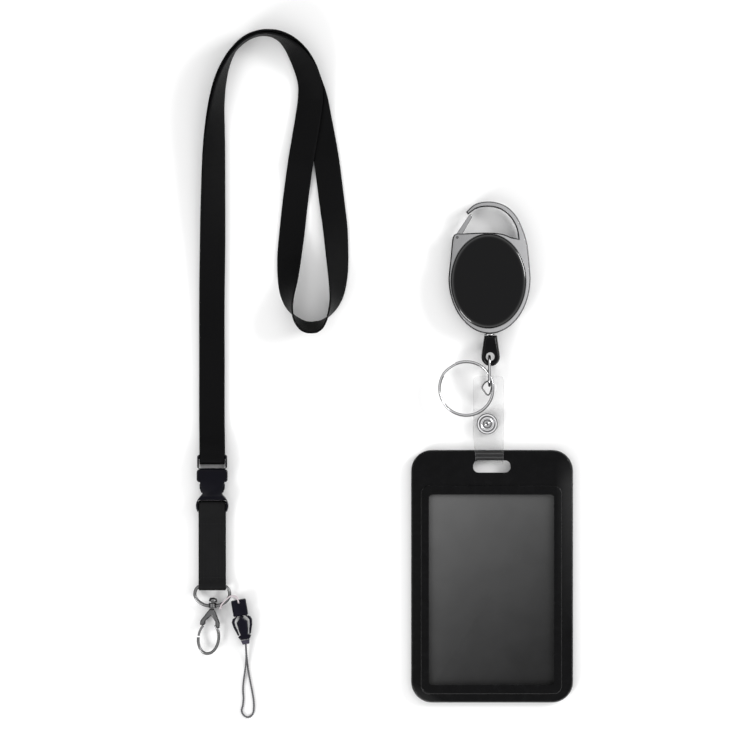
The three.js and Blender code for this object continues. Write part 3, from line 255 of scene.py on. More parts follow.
def as_piece(name, mesh, material, bevel=0.0, sharp=40.0, steps=2):
    """A mesh as a finished piece: seams closed, faces outwards, edges eased and shaded smooth."""
    shell = bmesh.new()
    shell.from_mesh(mesh)
    bmesh.ops.remove_doubles(shell, verts=shell.verts, dist=1e-7)
    bmesh.ops.dissolve_degenerate(shell, edges=shell.edges, dist=1e-8)
    bmesh.ops.recalc_face_normals(shell, faces=shell.faces)
    shell.to_mesh(mesh)
    shell.free()
    piece = bpy.data.objects.new(name, mesh)
    bpy.context.collection.objects.link(piece)
    if bevel:
        eased = piece.modifiers.new("eased edges", "BEVEL")
        eased.width = bevel
        eased.segments = steps
        eased.limit_method = "ANGLE"
        eased.angle_limit = math.radians(35)
        graph = bpy.context.evaluated_depsgraph_get()
        mesh = bpy.data.meshes.new_from_object(piece.evaluated_get(graph))
        piece.modifiers.clear()
        piece.data = mesh
    for face in mesh.polygons:
        face.use_smooth = True
    mesh.set_sharp_from_angle(angle=math.radians(sharp))
    mesh.materials.clear()
    mesh.materials.append(material)
    mesh.name = name
    return piece


def seat(piece, body, slot, *nodes):
    """The piece moves with its body and stands for its CAD nodes, which are hidden; slot is not
    used.
    """
    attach(piece, body)
    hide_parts(*nodes)
    return piece


# Each station is x, y, tilt in degrees, lift and half gap between the strands, in millimetres. G is
# the half gap of strands that lie on each other.
G = TOGETHER
SHARED_ROUTE = [
    (-120.8, 61, 0, 0.2, 0.8), (-120.9, 68, 0, 0, G), (-120.9, 92, 0, 0, G),
    (-120.9, 119, -3, 0, G), (-120.6, 142, -12, 0, G), (-120.4, 159, -22, 0, G),
    (-120, 182, -36, 0, G), (-119.6, 192.7, -47, 0, G), (-118.9, 203, -60, 0, G),
    (-117.2, 213.4, -71, 0, G), (-114.6, 221.2, -82, 0, G), (-111.2, 227.2, -90, 0, G),
    (-106.4, 231.6, -90, 0, G), (-101, 233.9, -90, 0, G), (-95.6, 234.1, -88, 0, 0.7),
    (-90.8, 232.4, -80, 0, 0.9), (-86.8, 229.2, -66, 0, 1), (-83.4, 224.8, -50, 0, 0.9),
    (-80.6, 219.4, -36, 0, 0.7), (-78.6, 213.2, -24, 0, G),
]
FRONT_ROUTE = [
    (-78.4, 206, -10, 2 * G, 0), (-79.4, 197.9, -4, 2 * G, 0), (-81.1, 187.5, 0, 1.5, 0),
    (-82.6, 178.5, 0, 1.9, 0), (-83.9, 169.3, 0, 0.6, 0), (-85.2, 159, 0, 0, 0),
    (-86.3, 148.6, -4, 0, 0), (-87.4, 138.2, -16, 0, 0), (-88, 127.9, -38, 0, 0),
    (-88.1, 122.7, -52, 0, 0), (-87.5, 117.5, -70, 0, 0), (-86.1, 113.4, -88, 0, 0),
    (-84, 110.2, -103, 0, 0), (-81.4, 108, -113, 0, 0), (-79.6, 107.4, -116, 0, 0),
    (-77.8, 107.25, -116, 0, 0),
]
BACK_ROUTE = [
    (-76.3, 206, -12, 0, 0), (-74.8, 197.9, -4, 0, 0), (-72.9, 188, 0, 0, 0),
    (-71.4, 179.2, 4, 0, 0), (-70.1, 169.3, 6, 0, 0), (-68.8, 159, 8, 0, 0),
    (-67.7, 150.3, 14, 0, 0), (-67, 140.8, 26, 0, 0), (-66.6, 133.1, 36, 0, 0),
    (-66.6, 127.9, 45, 0, 0), (-67, 122.7, 55, 0, 0), (-68, 118, 68, 0, 0),
    (-69.5, 114.4, 80, 0, 0), (-71.4, 111.2, 93, 0, 0), (-73.8, 108.5, 108, 0, 0),
    (-75.8, 107.5, 116, 0, 0), (-77.8, 107.25, 116, 0, 0),
]
# The front strand's half of the fold round the buckle's bar, seen from the side: y and z. The back
# strand's half mirrors it about the bar.
FOLD = [(48.6, 2.7), (48.9, 3.45), (49.7, 4.0), (50.8, 4.15), (52.5, 4.12), (55.5, 4.05)]
FOLD_X, FOLD_Z = -120.7, 2.7
EDGE_TURNS = (math.pi / 4, math.pi / 2, 3 * math.pi / 4)


def band_profile(flat, half_thickness, steps):
    """A flat band's section with round edges: across and out of its face, one way round."""
    over = [(flat * (1 - k / steps), half_thickness) for k in range(2 * steps + 1)]
    over += [(-flat - half_thickness * math.sin(a), half_thickness * math.cos(a))
             for a in EDGE_TURNS]
    under = [(flat * (k / steps - 1), -half_thickness) for k in range(2 * steps + 1)]
    under += [(flat + half_thickness * math.sin(a), -half_thickness * math.cos(a))
              for a in EDGE_TURNS]
    return over + under


def ribbon_strand(name, own_route, side):
    """One strand from the fold at the buckle to the foot of the loop, and the line it follows."""
    per_span = 8
    route = SHARED_ROUTE + own_route
    spots = smooth_line([(x, y, 0) for x, y, *_ in route], per_span)
    middle, widths = [], []
    for i, spot in enumerate(spots):
        span = min(i // per_span, len(route) - 2)
        share = i / per_span - span
        tilt, lift, gap = (route[span][c] * (1 - share) + route[span + 1][c] * share
                           for c in (2, 3, 4))
        ahead = (spots[min(i + 1, len(spots) - 1)] - spots[max(i - 1, 0)]).normalized()
        across = ahead.cross(Vector((0, 0, 1)))
        turn = math.radians(tilt)
        width = across * math.cos(turn) + Vector((0, 0, math.sin(turn)))
        face = width.cross(ahead)
        height = (TABLE_GAP + RIBBON_WIDTH * 500 * abs(math.sin(turn))
                  + (RIBBON_THICKNESS * 500 + gap) * abs(math.cos(turn)) + lift)
        middle.append(spot + Vector((0, 0, height)) + face * side * gap)
        widths.append(width)
    fold = [Vector((FOLD_X, y, FOLD_Z + side * (z - FOLD_Z))) for y, z in FOLD]
    line = smooth_line(fold + [middle[0]], 5)[:-1] + middle
    widths = [Vector((1, 0, 0))] * (len(line) - len(widths)) + widths
    line = [p / 1000 for p in line]
    profile = band_profile((RIBBON_WIDTH - RIBBON_THICKNESS) / 2, RIBBON_THICKNESS / 2, 5)
    rings, along, run = [], [], 0.0
    for i, point in enumerate(line):
        ahead = (line[min(i + 1, len(line) - 1)] - line[max(i - 1, 0)]).normalized()
        if i == len(line) - 1:
            ahead = Vector((side, 0, 0))
        width = (widths[i] - ahead * widths[i].dot(ahead)).normalized()
        face = width.cross(ahead)
        run += (point - line[i - 1]).length if i else 0
        along.append(run)
        rings.append([point + width * a + face * b for a, b in profile])
    mesh = loft(name, rings, [a for a, _ in profile] + [profile[0][0]], along)
    return as_piece(name, mesh, satin_ribbon, sharp=60), line


satin_ribbon = satin_finish()
for name, route, side, node, length in (
    ("neck_ribbon_front", FRONT_ROUTE, 1, "neck_strap_front", FRONT_STRAND_LENGTH),
    ("neck_ribbon_back", BACK_ROUTE, -1, "neck_strap_back", BACK_STRAND_LENGTH),
):
    strand, line = ribbon_strand(name, route, side)
    seat(strand, "neck_lanyard", "satin_ribbon", node)


# ---------------------------------------------------------------- phone string
# A thin grey cord of two twisted plies, which leaves the connector as two strands on each other
# and lies as a long narrow loop.
STRING_RADIUS = 0.00045
PLY_PITCH = 0.0016
STRING_ROUTE = [
    (-106.25, -28.5, 3.15), (-106.15, -31, 3), (-106.05, -34, 2.5), (-106.2, -37.5, 1.9),
    (-106.6, -41, 1.2), (-107.2, -45, 0.7), (-107.5, -49, 0.6), (-107.3, -53, 0.6),
    (-107.6, -56, 0.6), (-108.1, -58, 0.6), (-107.6, -59.6, 0.6), (-106.4, -60.7, 0.6),
    (-105.3, -61, 0.6), (-104.2, -60.6, 0.6), (-103.2, -59.3, 0.6), (-102.8, -57, 0.6),
    (-102.9, -54, 0.6), (-103.4, -50.5, 0.6), (-104.2, -46.5, 0.6), (-105, -42, 0.6),
    (-105.6, -38, 0.65), (-105.9, -34.5, 1.1), (-106.1, -31.5, 1.8), (-106.25, -28.5, 2.1),
]


def in_metres(points):
    return [Vector(p) / 1000 for p in points]


def sweep(line, radius, sides, closed=False):
    """Round rings carried along a line without twist; radius is a number or one per point."""
    radii = radius if isinstance(radius, list) else [radius] * len(line)
    last = len(line) - 1
    rings, side = [], None
    for i, point in enumerate(line):
        after = line[(i + 1) % len(line)] if closed else line[min(i + 1, last)]
        before = line[i - 1] if closed else line[max(i - 1, 0)]
        ahead = (after - before).normalized()
        if side is None:
            side = ahead.cross(Vector((0, 0, 1)))
            side = side if side.length > 0.1 else ahead.cross(Vector((1, 0, 0)))
        side = (side - ahead * side.dot(ahead)).normalized()
        up = side.cross(ahead)
        rings.append([point + (side * math.cos(2 * math.pi * k / sides)
                               + up * math.sin(2 * math.pi * k / sides)) * radii[i]
                      for k in range(sides)])
    return rings


def run_along(line):
    """How far along the line each point is, with one more value for a line that closes."""
    run = [0.0]
    for a, b in zip(line, line[1:] + line[:1]):
        run.append(run[-1] + (b - a).length)
    return run


def twisted_cord(name, line, radius, pitch, plies, material):
    """Plies wound round each other along a line."""
    shell = bmesh.new()
    run = run_along(line)
    steps = int(run[len(line) - 1] / pitch * 12)
    fine, i = [], 0
    for s in range(steps + 1):
        at = run[len(line) - 1] * s / steps
        while i < len(line) - 2 and run[i + 1] < at:
            i += 1
        fine.append(line[i].lerp(line[i + 1], (at - run[i]) / (run[i + 1] - run[i])))
    frames = sweep(fine, 1.0, 4)
    for ply in range(plies):
        strand = []
        for s, point in enumerate(fine):
            turn = 2 * math.pi * (s / 12 + ply / plies)
            side, up = frames[s][0] - point, frames[s][1] - point
            strand.append(point + (side * math.cos(turn) + up * math.sin(turn)) * radius * 0.48)
        mesh = loft(name, sweep(strand, radius * 0.52, 7), along=run_along(strand))
        shell.from_mesh(mesh)
    mesh = bpy.data.meshes.new(name)
    shell.to_mesh(mesh)
    shell.free()
    return as_piece(name, mesh, material, sharp=60)


def yarn_finish(name, dark, light):
    finish = Finish(name, Sheen_Weight=0.04, Sheen_Roughness=0.5, Specular_IOR_Level=0.2)
    place = finish.place()
    fibres = finish.noise(place, 6.0, 5.0)
    finish.feed("Base Color", finish.blend_colours(fibres, dark, light))
    finish.feed("Roughness", fibres * 0.3 + 0.55)
    finish.bump(fibres, 0.00005, 0.8)
    return finish.material


grey_yarn = yarn_finish("grey_yarn", (0.04, 0.04, 0.042, 1), (0.2, 0.2, 0.21, 1))
string_line = smooth_line(in_metres(STRING_ROUTE), 8)
phone_string = twisted_cord("phone_string_loop", string_line, STRING_RADIUS, PLY_PITCH, 2,
                            grey_yarn)
seat(phone_string, "string_plug", "grey_string", "phone_string")


# ---------------------------------------------------------------- connector's thread
# A pale braided thread that ties the connector's cap to the ring: through the cap's hole, over the
# ring's side, round its lower wire and back underneath.
TETHER_RADIUS = 0.0003
TETHER_ROUTE = [
    (-109.3, -11.4, 3), (-109.3, -11.2, 4.6), (-109.7, -9.9, 4.9), (-110.8, -8.9, 4.5),
    (-112.7, -8.5, 4), (-114.2, -9.6, 3.8), (-115.6, -10.9, 4.1), (-116.8, -12.4, 4.1),
    (-117.3, -13.9, 3.1), (-117.1, -14, 2.1), (-116.4, -12.6, 1.3), (-115.1, -11.1, 1.4),
    (-113.9, -9.6, 1.4), (-112.6, -8.6, 1.1), (-110.9, -8.6, 0.6), (-109.8, -9.8, 0.36),
    (-109.4, -10.8, 0.38), (-109.25, -11.3, 0.8), (-109.25, -11.4, 1.6),
]
pale_yarn = yarn_finish("pale_yarn", (0.42, 0.33, 0.36, 1), (0.85, 0.8, 0.82, 1))
tether_line = smooth_line(in_metres(TETHER_ROUTE), 8)
tether = as_piece("tied_thread", loft("tied_thread", sweep(tether_line, TETHER_RADIUS, 8),
                                      along=run_along(tether_line)), pale_yarn, sharp=60)
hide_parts("phone_tether")
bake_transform(tether)


# ---------------------------------------------------------------- side-release buckle
# A moulded nylon buckle in very dark blue-black: the plug with its two prongs above, the socket
# below. The edges are eased as a mould leaves them, with a fine spark-eroded grain.
MOULDED_EASE = 0.00022


def moulded_finish(name, dark, light, roughness, grain=14.0, polish=0.9):
    finish = Finish(name, Specular_IOR_Level=0.1, Coat_Roughness=0.18)
    place = finish.place()
    cloud = finish.noise(place, 0.25, 3.0)
    pits = finish.noise(place, grain, 2.0)
    finish.feed("Base Color", finish.blend_colours(cloud, dark, light))
    finish.feed("Roughness", cloud * 0.12 + pits * 0.1 + (roughness - 0.11))
    finish.feed("Coat Weight", finish.between(finish.steepness(), 0.015, 0.12, polish))
    finish.bump(pits, 0.00002, 0.5)
    return finish.material


def from_cad(name, node, material, ease, sharp=40.0, steps=2):
    """A CAD node's own shape with its edges eased, as the mould or the tumbling leaves it."""
    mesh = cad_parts[node].data.copy()
    shell = bmesh.new()
    shell.from_mesh(mesh)
    bmesh.ops.remove_doubles(shell, verts=shell.verts, dist=2e-6)
    bmesh.ops.dissolve_limit(shell, angle_limit=math.radians(0.5), verts=shell.verts,
                             edges=shell.edges)
    shell.to_mesh(mesh)
    shell.free()
    return as_piece(name, mesh, material, ease, sharp, steps)


nylon = moulded_finish("blue_black_nylon", (0.0013, 0.0012, 0.003, 1),
                       (0.003, 0.0029, 0.0065, 1), 0.38)
for name, node, body in (
    ("buckle_upper_half", "buckle_plug", "neck_lanyard"),
    ("buckle_lower_half_shell", "buckle_socket", "buckle_lower_half"),
    ("left_prong", "buckle_prong_left", "plug_prong_left"),
    ("right_prong", "buckle_prong_right", "plug_prong_right"),
):
    seat(from_cad(name, node, nylon, MOULDED_EASE), body, "matt_black", node)


# ---------------------------------------------------------------- lower webbing
# A short length of black polyester webbing, doubled: looped over the buckle's lower bar and round
# the ring's straight side, and sewn across at both ends.
WEBBING_WIDTH = 0.0118
WEBBING_THICKNESS = 0.0008
WEBBING_X, WEBBING_Z = -0.1207, 0.0027
# Half of the doubled loop seen from the side: y and height over the middle, from the buckle's bar
# down to the ring
WEBBING_SIDE = [
    (32.15, 0), (31.75, 1.02), (30.7, 1.45), (29.2, 1.45), (27.6, 1.4), (25.6, 0.85), (24, 0.43),
    (20, 0.42), (14, 0.42), (8, 0.42), (2, 0.42), (-1.4, 0.43), (-2.6, 0.75), (-3.6, 1.05),
    (-4.6, 1.1), (-5.38, 0.78), (-5.7, 0),
]


def webbing_finish():
    finish = Finish("black_webbing", Sheen_Weight=0.02, Sheen_Roughness=0.45,
                    Specular_IOR_Level=0.12)
    across, along = finish.along_and_across("run")
    rib = finish.wave(across, 0.7)
    pick = finish.wave(along + finish.wave(across, 1.4) * 0.12, 0.55)
    patch = finish.noise(finish.place(), 0.12, 4.0)
    # The noise patches are partly the webbing's own uneven tone and partly painted sheen.
    share = patch * 0.6 + rib * pick * 0.2
    finish.feed("Base Color", finish.blend_colours(share, (0.0015, 0.0015, 0.0017, 1),
                                                   (0.011, 0.011, 0.012, 1)))
    finish.feed("Roughness", patch * 0.2 + 0.45)
    finish.bump(rib * pick, 0.00007, 0.8)
    return finish.material


def flat_band(name, line, widths, thickness, material, closed=False):
    """A flat band across X along a line in the YZ plane, with round edges; widths one per point."""
    rings, last = [], len(line) - 1
    for i, point in enumerate(line):
        after = line[(i + 1) % len(line)] if closed else line[min(i + 1, last)]
        before = line[i - 1] if closed else line[max(i - 1, 0)]
        ahead = (after - before).normalized()
        face = Vector((1, 0, 0)).cross(ahead)
        profile = band_profile((widths[i] - thickness) / 2, thickness / 2, 4)
        rings.append([point + Vector((a, 0, 0)) + face * b for a, b in profile])
    around = [a for a, _ in profile] + [profile[0][0]]
    return as_piece(name, loft(name, rings, around, run_along(line), closed), material, sharp=60)


black_webbing = webbing_finish()
half = [Vector((WEBBING_X, y / 1000, WEBBING_Z + z / 1000)) for y, z in WEBBING_SIDE]
other = [Vector((p.x, p.y, 2 * WEBBING_Z - p.z)) for p in half[-2:0:-1]]
webbing_line = smooth_line(half + other, 6, closed=True)
webbing = flat_band("doubled_webbing", webbing_line, [WEBBING_WIDTH] * len(webbing_line),
                    WEBBING_THICKNESS, black_webbing, closed=True)
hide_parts("webbing_top", "webbing_bottom")
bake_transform(webbing)

# The two rows of stitches that close the loops, sewn through both layers
STITCH_ROWS = (
    ("upper_stitches", 22.6, "buckle_lower_half"),
    ("lower_stitches", -0.6, "lower_webbing"),
)
STITCH_COUNT = 9
STITCH_LENGTH, STITCH_THICKNESS = 0.0008, 0.00022
STITCH_MARGIN, STITCH_RISE = 0.0012, 0.00082


def stitch_tree():
    """Geometry Nodes: stitches laid end to end between two points."""
    tree = bpy.data.node_groups.new("row of stitches", "GeometryNodeTree")
    for label, kind in (("Start", "NodeSocketVector"), ("End", "NodeSocketVector"),
                        ("Stitches", "NodeSocketInt"), ("Length", "NodeSocketFloat"),
                        ("Thickness", "NodeSocketFloat"), ("Thread", "NodeSocketMaterial")):
        tree.interface.new_socket(label, in_out="INPUT", socket_type=kind)
    tree.interface.new_socket("Geometry", in_out="OUTPUT", socket_type="NodeSocketGeometry")
    given = tree.nodes.new("NodeGroupInput")
    result = tree.nodes.new("NodeGroupOutput")
    row = tree.nodes.new("GeometryNodeMeshLine")
    row.mode = "END_POINTS"
    bead = tree.nodes.new("GeometryNodeMeshUVSphere")
    bead.inputs["Segments"].default_value = 10
    bead.inputs["Rings"].default_value = 6
    bead.inputs["Radius"].default_value = 0.5
    size = tree.nodes.new("ShaderNodeCombineXYZ")
    copies = tree.nodes.new("GeometryNodeInstanceOnPoints")
    real = tree.nodes.new("GeometryNodeRealizeInstances")
    thread = tree.nodes.new("GeometryNodeSetMaterial")
    link = tree.links.new
    link(given.outputs["Stitches"], row.inputs["Count"])
    link(given.outputs["Start"], row.inputs["Start Location"])
    link(given.outputs["End"], row.inputs["Offset"])
    link(given.outputs["Length"], size.inputs[0])
    link(given.outputs["Thickness"], size.inputs[1])
    link(given.outputs["Thickness"], size.inputs[2])
    link(row.outputs["Mesh"], copies.inputs["Points"])
    link(bead.outputs["Mesh"], copies.inputs["Instance"])
    link(size.outputs[0], copies.inputs["Scale"])
    link(copies.outputs[0], real.inputs[0])
    link(real.outputs[0], thread.inputs["Geometry"])
    link(given.outputs["Thread"], thread.inputs["Material"])
    link(thread.outputs[0], result.inputs[0])
    return tree


def grown(name, tree, **values):
    """What a Geometry Nodes tree makes with these inputs, as a plain mesh piece."""
    piece = bpy.data.objects.new(name, bpy.data.meshes.new(name))
    bpy.context.collection.objects.link(piece)
    modifier = piece.modifiers.new(name, "NODES")
    modifier.node_group = tree
    for item in tree.interface.items_tree:
        if item.in_out == "INPUT" and item.name.replace(" ", "_") in values:
            modifier[item.identifier] = values[item.name.replace(" ", "_")]
    graph = bpy.context.evaluated_depsgraph_get()
    mesh = bpy.data.meshes.new_from_object(piece.evaluated_get(graph))
    piece.modifiers.clear()
    piece.data = mesh
    for face in mesh.polygons:
        face.use_smooth = True
    return piece


stitches = stitch_tree()
black_thread = yarn_finish("black_thread", (0.003, 0.003, 0.003, 1), (0.012, 0.012, 0.013, 1))
for name, y, body in STITCH_ROWS:
    reach = WEBBING_WIDTH / 2 - STITCH_MARGIN
    start, end = ((WEBBING_X + across, y / 1000, WEBBING_Z + STITCH_RISE)
                  for across in (-reach, reach))
    row = grown(name, stitches, Start=start, End=end, Stitches=STITCH_COUNT,
                Length=STITCH_LENGTH, Thickness=STITCH_THICKNESS, Thread=black_thread)
    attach(row, body)


# ---------------------------------------------------------------- ring and swivel
# A D-shaped ring of nickel-plated steel wire with a turned collar at its foot, which holds the
# hook's mushroom-headed rivet so that it turns freely.
RING_WIRE = 0.0007
RING_HALF_WIDTH, RING_TOP, RING_HEIGHT = 7.5, -4.6, 8.3
COLLAR_RADIUS, COLLAR_HALF, STEM_RADIUS = 0.00175, 0.00115, 0.0007
RING_X, RING_Z = -0.1207, 0.0027
SWIVEL_TILT = math.radians(-7)
collar_place = Matrix.Translation((-0.1206, -0.0126, 0.0027))
swivel = collar_place @ Matrix.Rotation(SWIVEL_TILT, 4, "Z")


def metal_finish(name, base, roughness, scratch=0.5, edge=0.9, painted_light_gradient=0.0):
    finish = Finish(name, Metallic=1.0)
    place = finish.place()
    sideways = finish.node("ShaderNodeSeparateXYZ", {}, [place], 0)
    # painted_light_gradient paints the metal lighter from left to right along X: painted light.
    cloud = finish.noise(place, 0.35, 3.0) * (1 - painted_light_gradient) + (sideways + 19) * (painted_light_gradient / 36)
    stretched = finish.node("ShaderNodeMapping", {}, {"Vector": place, "Scale": (9.0, 1.2, 3.0)})
    scratches = finish.noise(stretched, 2.2, 6.0)
    low = base * (0.86 - 0.4 * painted_light_gradient)
    face = finish.blend_colours(cloud, (low, low, low * 1.01, 1),
                                (base, base, base * 1.01, 1))
    # Steep faces are painted nearly black: painted shade along the sides of wires and cast edges.
    painted_side_shade = finish.between(finish.steepness(), 0.05, 0.32, edge)
    finish.feed("Base Color", finish.blend_colours(painted_side_shade, face, (base * 0.06, base * 0.06,
                                                               base * 0.065, 1)))
    finish.feed("Roughness", cloud * 0.1 + scratches * 0.08 + (roughness - 0.09))
    finish.bump(scratches, 0.00001, scratch)
    return finish.material


def bent_wire(name, line, radius, sides, material):
    """Round wire bent along a line that closes on itself."""
    mesh = loft(name, sweep(line, radius, sides, closed=True), closed=True)
    return as_piece(name, mesh, material, sharp=60)


def turned(name, profile, place, material, segments):
    """A piece turned about its own Z axis from a closed profile of radius and height."""
    rings = []
    for s in range(segments):
        angle = 2 * math.pi * s / segments
        rings.append([place @ Vector((r * math.cos(angle), r * math.sin(angle), h))
                      for r, h in profile])
    return as_piece(name, loft(name, rings, closed=True), material)


def recoat(material, *nodes):
    """CAD nodes that keep their own shape and only take a better material."""
    for node in nodes:
        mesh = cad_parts[node].data
        mesh.materials.clear()
        mesh.materials.append(material)


# The nickel's steep sides carry painted shade; its scratches are wear.
nickel = metal_finish("worn_nickel", 0.24, 0.24)
w, top, tall = RING_HALF_WIDTH, RING_TOP, RING_HEIGHT
ring_right = [(0.8 * w, top), (0.97 * w, top - 0.2 * tall), (0.99 * w, top - 0.46 * tall),
              (0.8 * w, top - 0.74 * tall), (0.43 * w, top - 0.94 * tall)]
ring_loop = ([(0.4 * w, top), (0, top), (-0.4 * w, top)] + [(-x, y) for x, y in ring_right]
             + [(0, top - tall)] + ring_right[::-1])
ring_line = smooth_line([(x / 1000 + RING_X, y / 1000, RING_Z) for x, y in ring_loop], 10,
                        closed=True)
seat(bent_wire("d_ring_wire", ring_line, RING_WIRE, 16, nickel), "swivel_ring", "steel", "d_ring")
along_y = Matrix.Rotation(math.radians(-90), 4, "X")
collar_profile = [(STEM_RADIUS + 0.0004, -COLLAR_HALF), (COLLAR_RADIUS - 0.0003, -COLLAR_HALF),
                  (COLLAR_RADIUS, -COLLAR_HALF + 0.0003), (COLLAR_RADIUS - 0.0001, 0),
                  (COLLAR_RADIUS, COLLAR_HALF - 0.0003), (COLLAR_RADIUS - 0.0003, COLLAR_HALF),
                  (STEM_RADIUS + 0.0004, COLLAR_HALF)]
collar = turned("d_ring_collar", collar_profile, collar_place @ along_y, nickel, 40)
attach(collar, "swivel_ring")
head = COLLAR_HALF + 0.0004
rivet_profile = [(0, -0.0027), (STEM_RADIUS, -0.0027), (STEM_RADIUS, head), (0.0016, head),
                 (0.0018, head + 0.0002), (0.0018, head + 0.0007), (0.00165, head + 0.0012),
                 (0.0013, head + 0.0016), (0.0007, head + 0.00185), (0, head + 0.0019)]
rivet = turned("mushroom_rivet", rivet_profile, swivel @ along_y, nickel, 40)
seat(rivet, "swivel_hook", "steel", "swivel_rivet")


# ---------------------------------------------------------------- swivel hook
# A small die-cast trigger hook: a forked head that carries the rivet, an oval wire nose, and a
# sprung gate on its left side that pivots on a pin in the fork.
HOOK_WIRE = 0.0006
HOOK_HALF_WIDTH, HOOK_HALF_LENGTH, HOOK_MIDDLE = 0.0044, 0.0067, -0.0142


def oval_arc(first, last, steps):
    """Points on the hook's oval between two angles in degrees, tilted as the swivel is."""
    angles = [math.radians(first + (last - first) * i / steps) for i in range(steps + 1)]
    return [swivel @ Vector((HOOK_HALF_WIDTH * math.cos(a),
                             HOOK_MIDDLE + HOOK_HALF_LENGTH * math.sin(a), 0)) for a in angles]


seat(from_cad("hook_head_and_nose", "hook_body", nickel, 0.00018, steps=3), "swivel_hook", "steel",
     "hook_body")
nose_line = oval_arc(40, -178.6, 90)
nose = as_piece("hook_nose", loft("hook_nose", sweep(nose_line, HOOK_WIRE + 0.00002, 16)), nickel,
                sharp=60)
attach(nose, "swivel_hook")
seat(from_cad("hook_gate_lever", "hook_gate", nickel, 0.00008), "swivel_hook_gate", "steel",
     "hook_gate")
recoat(nickel, "hook_gate_pin")


# ---------------------------------------------------------------- phone string connector
# A two-part quick-release connector in the same blue-black plastic: a flat cap, and a plug whose
# two bowed arms are squeezed to let it out.
connector_plastic = moulded_finish("connector_plastic", (0.0025, 0.0022, 0.0052, 1),
                                   (0.007, 0.0063, 0.013, 1), 0.3, 9.0)
for name, node, body in (
    ("connector_cap_shell", "connector_cap", "string_connector"),
    ("connector_core", "connector_plug", "string_plug"),
    ("left_arm", "connector_prong_left", "string_prong_left"),
    ("right_arm", "connector_prong_right", "string_prong_right"),
):
    seat(from_cad(name, node, connector_plastic, 0.00018), body, "matt_black", node)
collar_plastic = moulded_finish("string_collar_plastic", (0.03, 0.028, 0.042, 1),
                                (0.07, 0.065, 0.09, 1), 0.35)
seat(from_cad("string_collar_shell", "string_collar", collar_plastic, 0.00018), "string_plug",
     "matt_black", "string_collar")


# ---------------------------------------------------------------- reel frame and gate
# The reel's chromed die-cast frame, one piece with the carabiner's bow. Its thin sprung gate turns
# on a pin in the left shoulder and closes against the hooked nose.
# The chrome is painted lighter towards its right side: painted light.
chrome = metal_finish("bright_chrome", 0.9, 0.14, 0.35, 0.85, painted_light_gradient=0.8)
seat(from_cad("reel_frame_casting", "reel_frame", chrome, 0.0002, steps=3), "reel", "chrome",
     "reel_frame")
seat(from_cad("gate_lever", "carabiner_gate", chrome, 0.00015, steps=3), "reel_gate", "chrome",
     "carabiner_gate")
recoat(nickel, "gate_pin", "power_spring")


# ---------------------------------------------------------------- reel covers
# Two oval covers close the reel. The front one is gloss black ABS, gently crowned inside a
# polished chamfer, and the back one is plain and flat.
COVER_MIDDLE = (-0.0017, 0.1272)
COVER_HALVES = (0.0164, 0.0205)
FRONT_COVER_Z = (0.0072, 0.0097)


def gloss_finish():
    finish = Finish("gloss_black_abs", Specular_IOR_Level=0.22, Coat_Roughness=0.1)
    place = finish.place()
    smear = finish.noise(place, 0.12, 5.0)
    dust = finish.noise(place, 5.0, 2.0)
    specks = finish.node("ShaderNodeMapRange", {}, {"Value": dust, "From Min": 0.7,
                                                    "From Max": 0.8})
    finish.feed("Base Color", finish.blend_colours(specks * 0.25, (0.0035, 0.0035, 0.0038, 1),
                                                   (0.03, 0.03, 0.032, 1)))
    finish.feed("Roughness", smear * 0.1 + 0.12)
    finish.feed("Coat Weight", finish.between(finish.steepness(), 0.004, 0.08))
    finish.bump(smear, 0.00003, 0.15)
    return finish.material


def oval_rings(levels, segments):
    """Oval rings about the cover's middle; each level is an inset from the rim and a height."""
    rings = []
    for inset, z in levels:
        a, b = COVER_HALVES[0] - inset, COVER_HALVES[1] - inset
        rings.append([Vector((COVER_MIDDLE[0] + a * math.cos(2 * math.pi * s / segments),
                              COVER_MIDDLE[1] + b * math.sin(2 * math.pi * s / segments), z))
                      for s in range(segments)])
    return rings


gloss_black = gloss_finish()
low, high = FRONT_COVER_Z
levels = [(0.0002, low), (0, low + 0.0002), (0, high - 0.0012), (0.0001, high - 0.00095),
          (0.0004, high - 0.0006), (0.0009, high - 0.00032), (0.0015, high - 0.00016),
          (0.0021, high - 0.00009), (0.003, high - 0.00006), (0.006, high - 0.00002),
          (0.010, high), (0.0145, high)]
front_cover = as_piece("front_cover_shell", loft("front_cover_shell", oval_rings(levels, 128)),
                       gloss_black, sharp=75)
seat(front_cover, "reel", "gloss_black", "front_cover")
matt_black = moulded_finish("matt_black_plastic", (0.002, 0.002, 0.0022, 1),
                            (0.005, 0.005, 0.0055, 1), 0.45)
seat(from_cad("back_cover_shell", "back_cover", matt_black, 0.0002), "reel", "matt_black",
     "back_cover")
recoat(matt_black, "spool", "reel_axle")


# ---------------------------------------------------------------- cord and cord end
# The reel's thin black cord comes out through a chromed eyelet into a moulded teardrop end, whose
# eye carries the link.
CORD_X, CORD_Z, CORD_RADIUS = -0.0012, 0.0044, 0.00045
CORD_TOP, CORD_STRETCH, CORD_STEPS = 0.1078, 0.0074, 40
cord_yarn = yarn_finish("black_cord", (0.003, 0.003, 0.003, 1), (0.012, 0.012, 0.013, 1))
recoat(cord_yarn, "wound_cord")
pull_line = [Vector((CORD_X, CORD_TOP - CORD_STRETCH * i / CORD_STEPS, CORD_Z))
             for i in range(CORD_STEPS + 1)]
pull_mesh = loft("pull_cord_stretch", sweep(pull_line, CORD_RADIUS, 12))
pull_cord = as_piece("pull_cord_stretch", pull_mesh, cord_yarn)
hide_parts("pull_cord")
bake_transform(pull_cord)
seat(from_cad("eyelet", "outlet_eyelet", chrome, 0.00012), "reel", "chrome", "outlet_eyelet")
end_plastic = moulded_finish("cord_end_plastic", (0.0025, 0.0025, 0.0028, 1),
                             (0.005, 0.005, 0.0055, 1), 0.2, 8.0)
seat(from_cad("cord_end_moulding", "cord_end", end_plastic, 0.0003, steps=3), "reel_cord_end",
     "gloss_black", "cord_end")


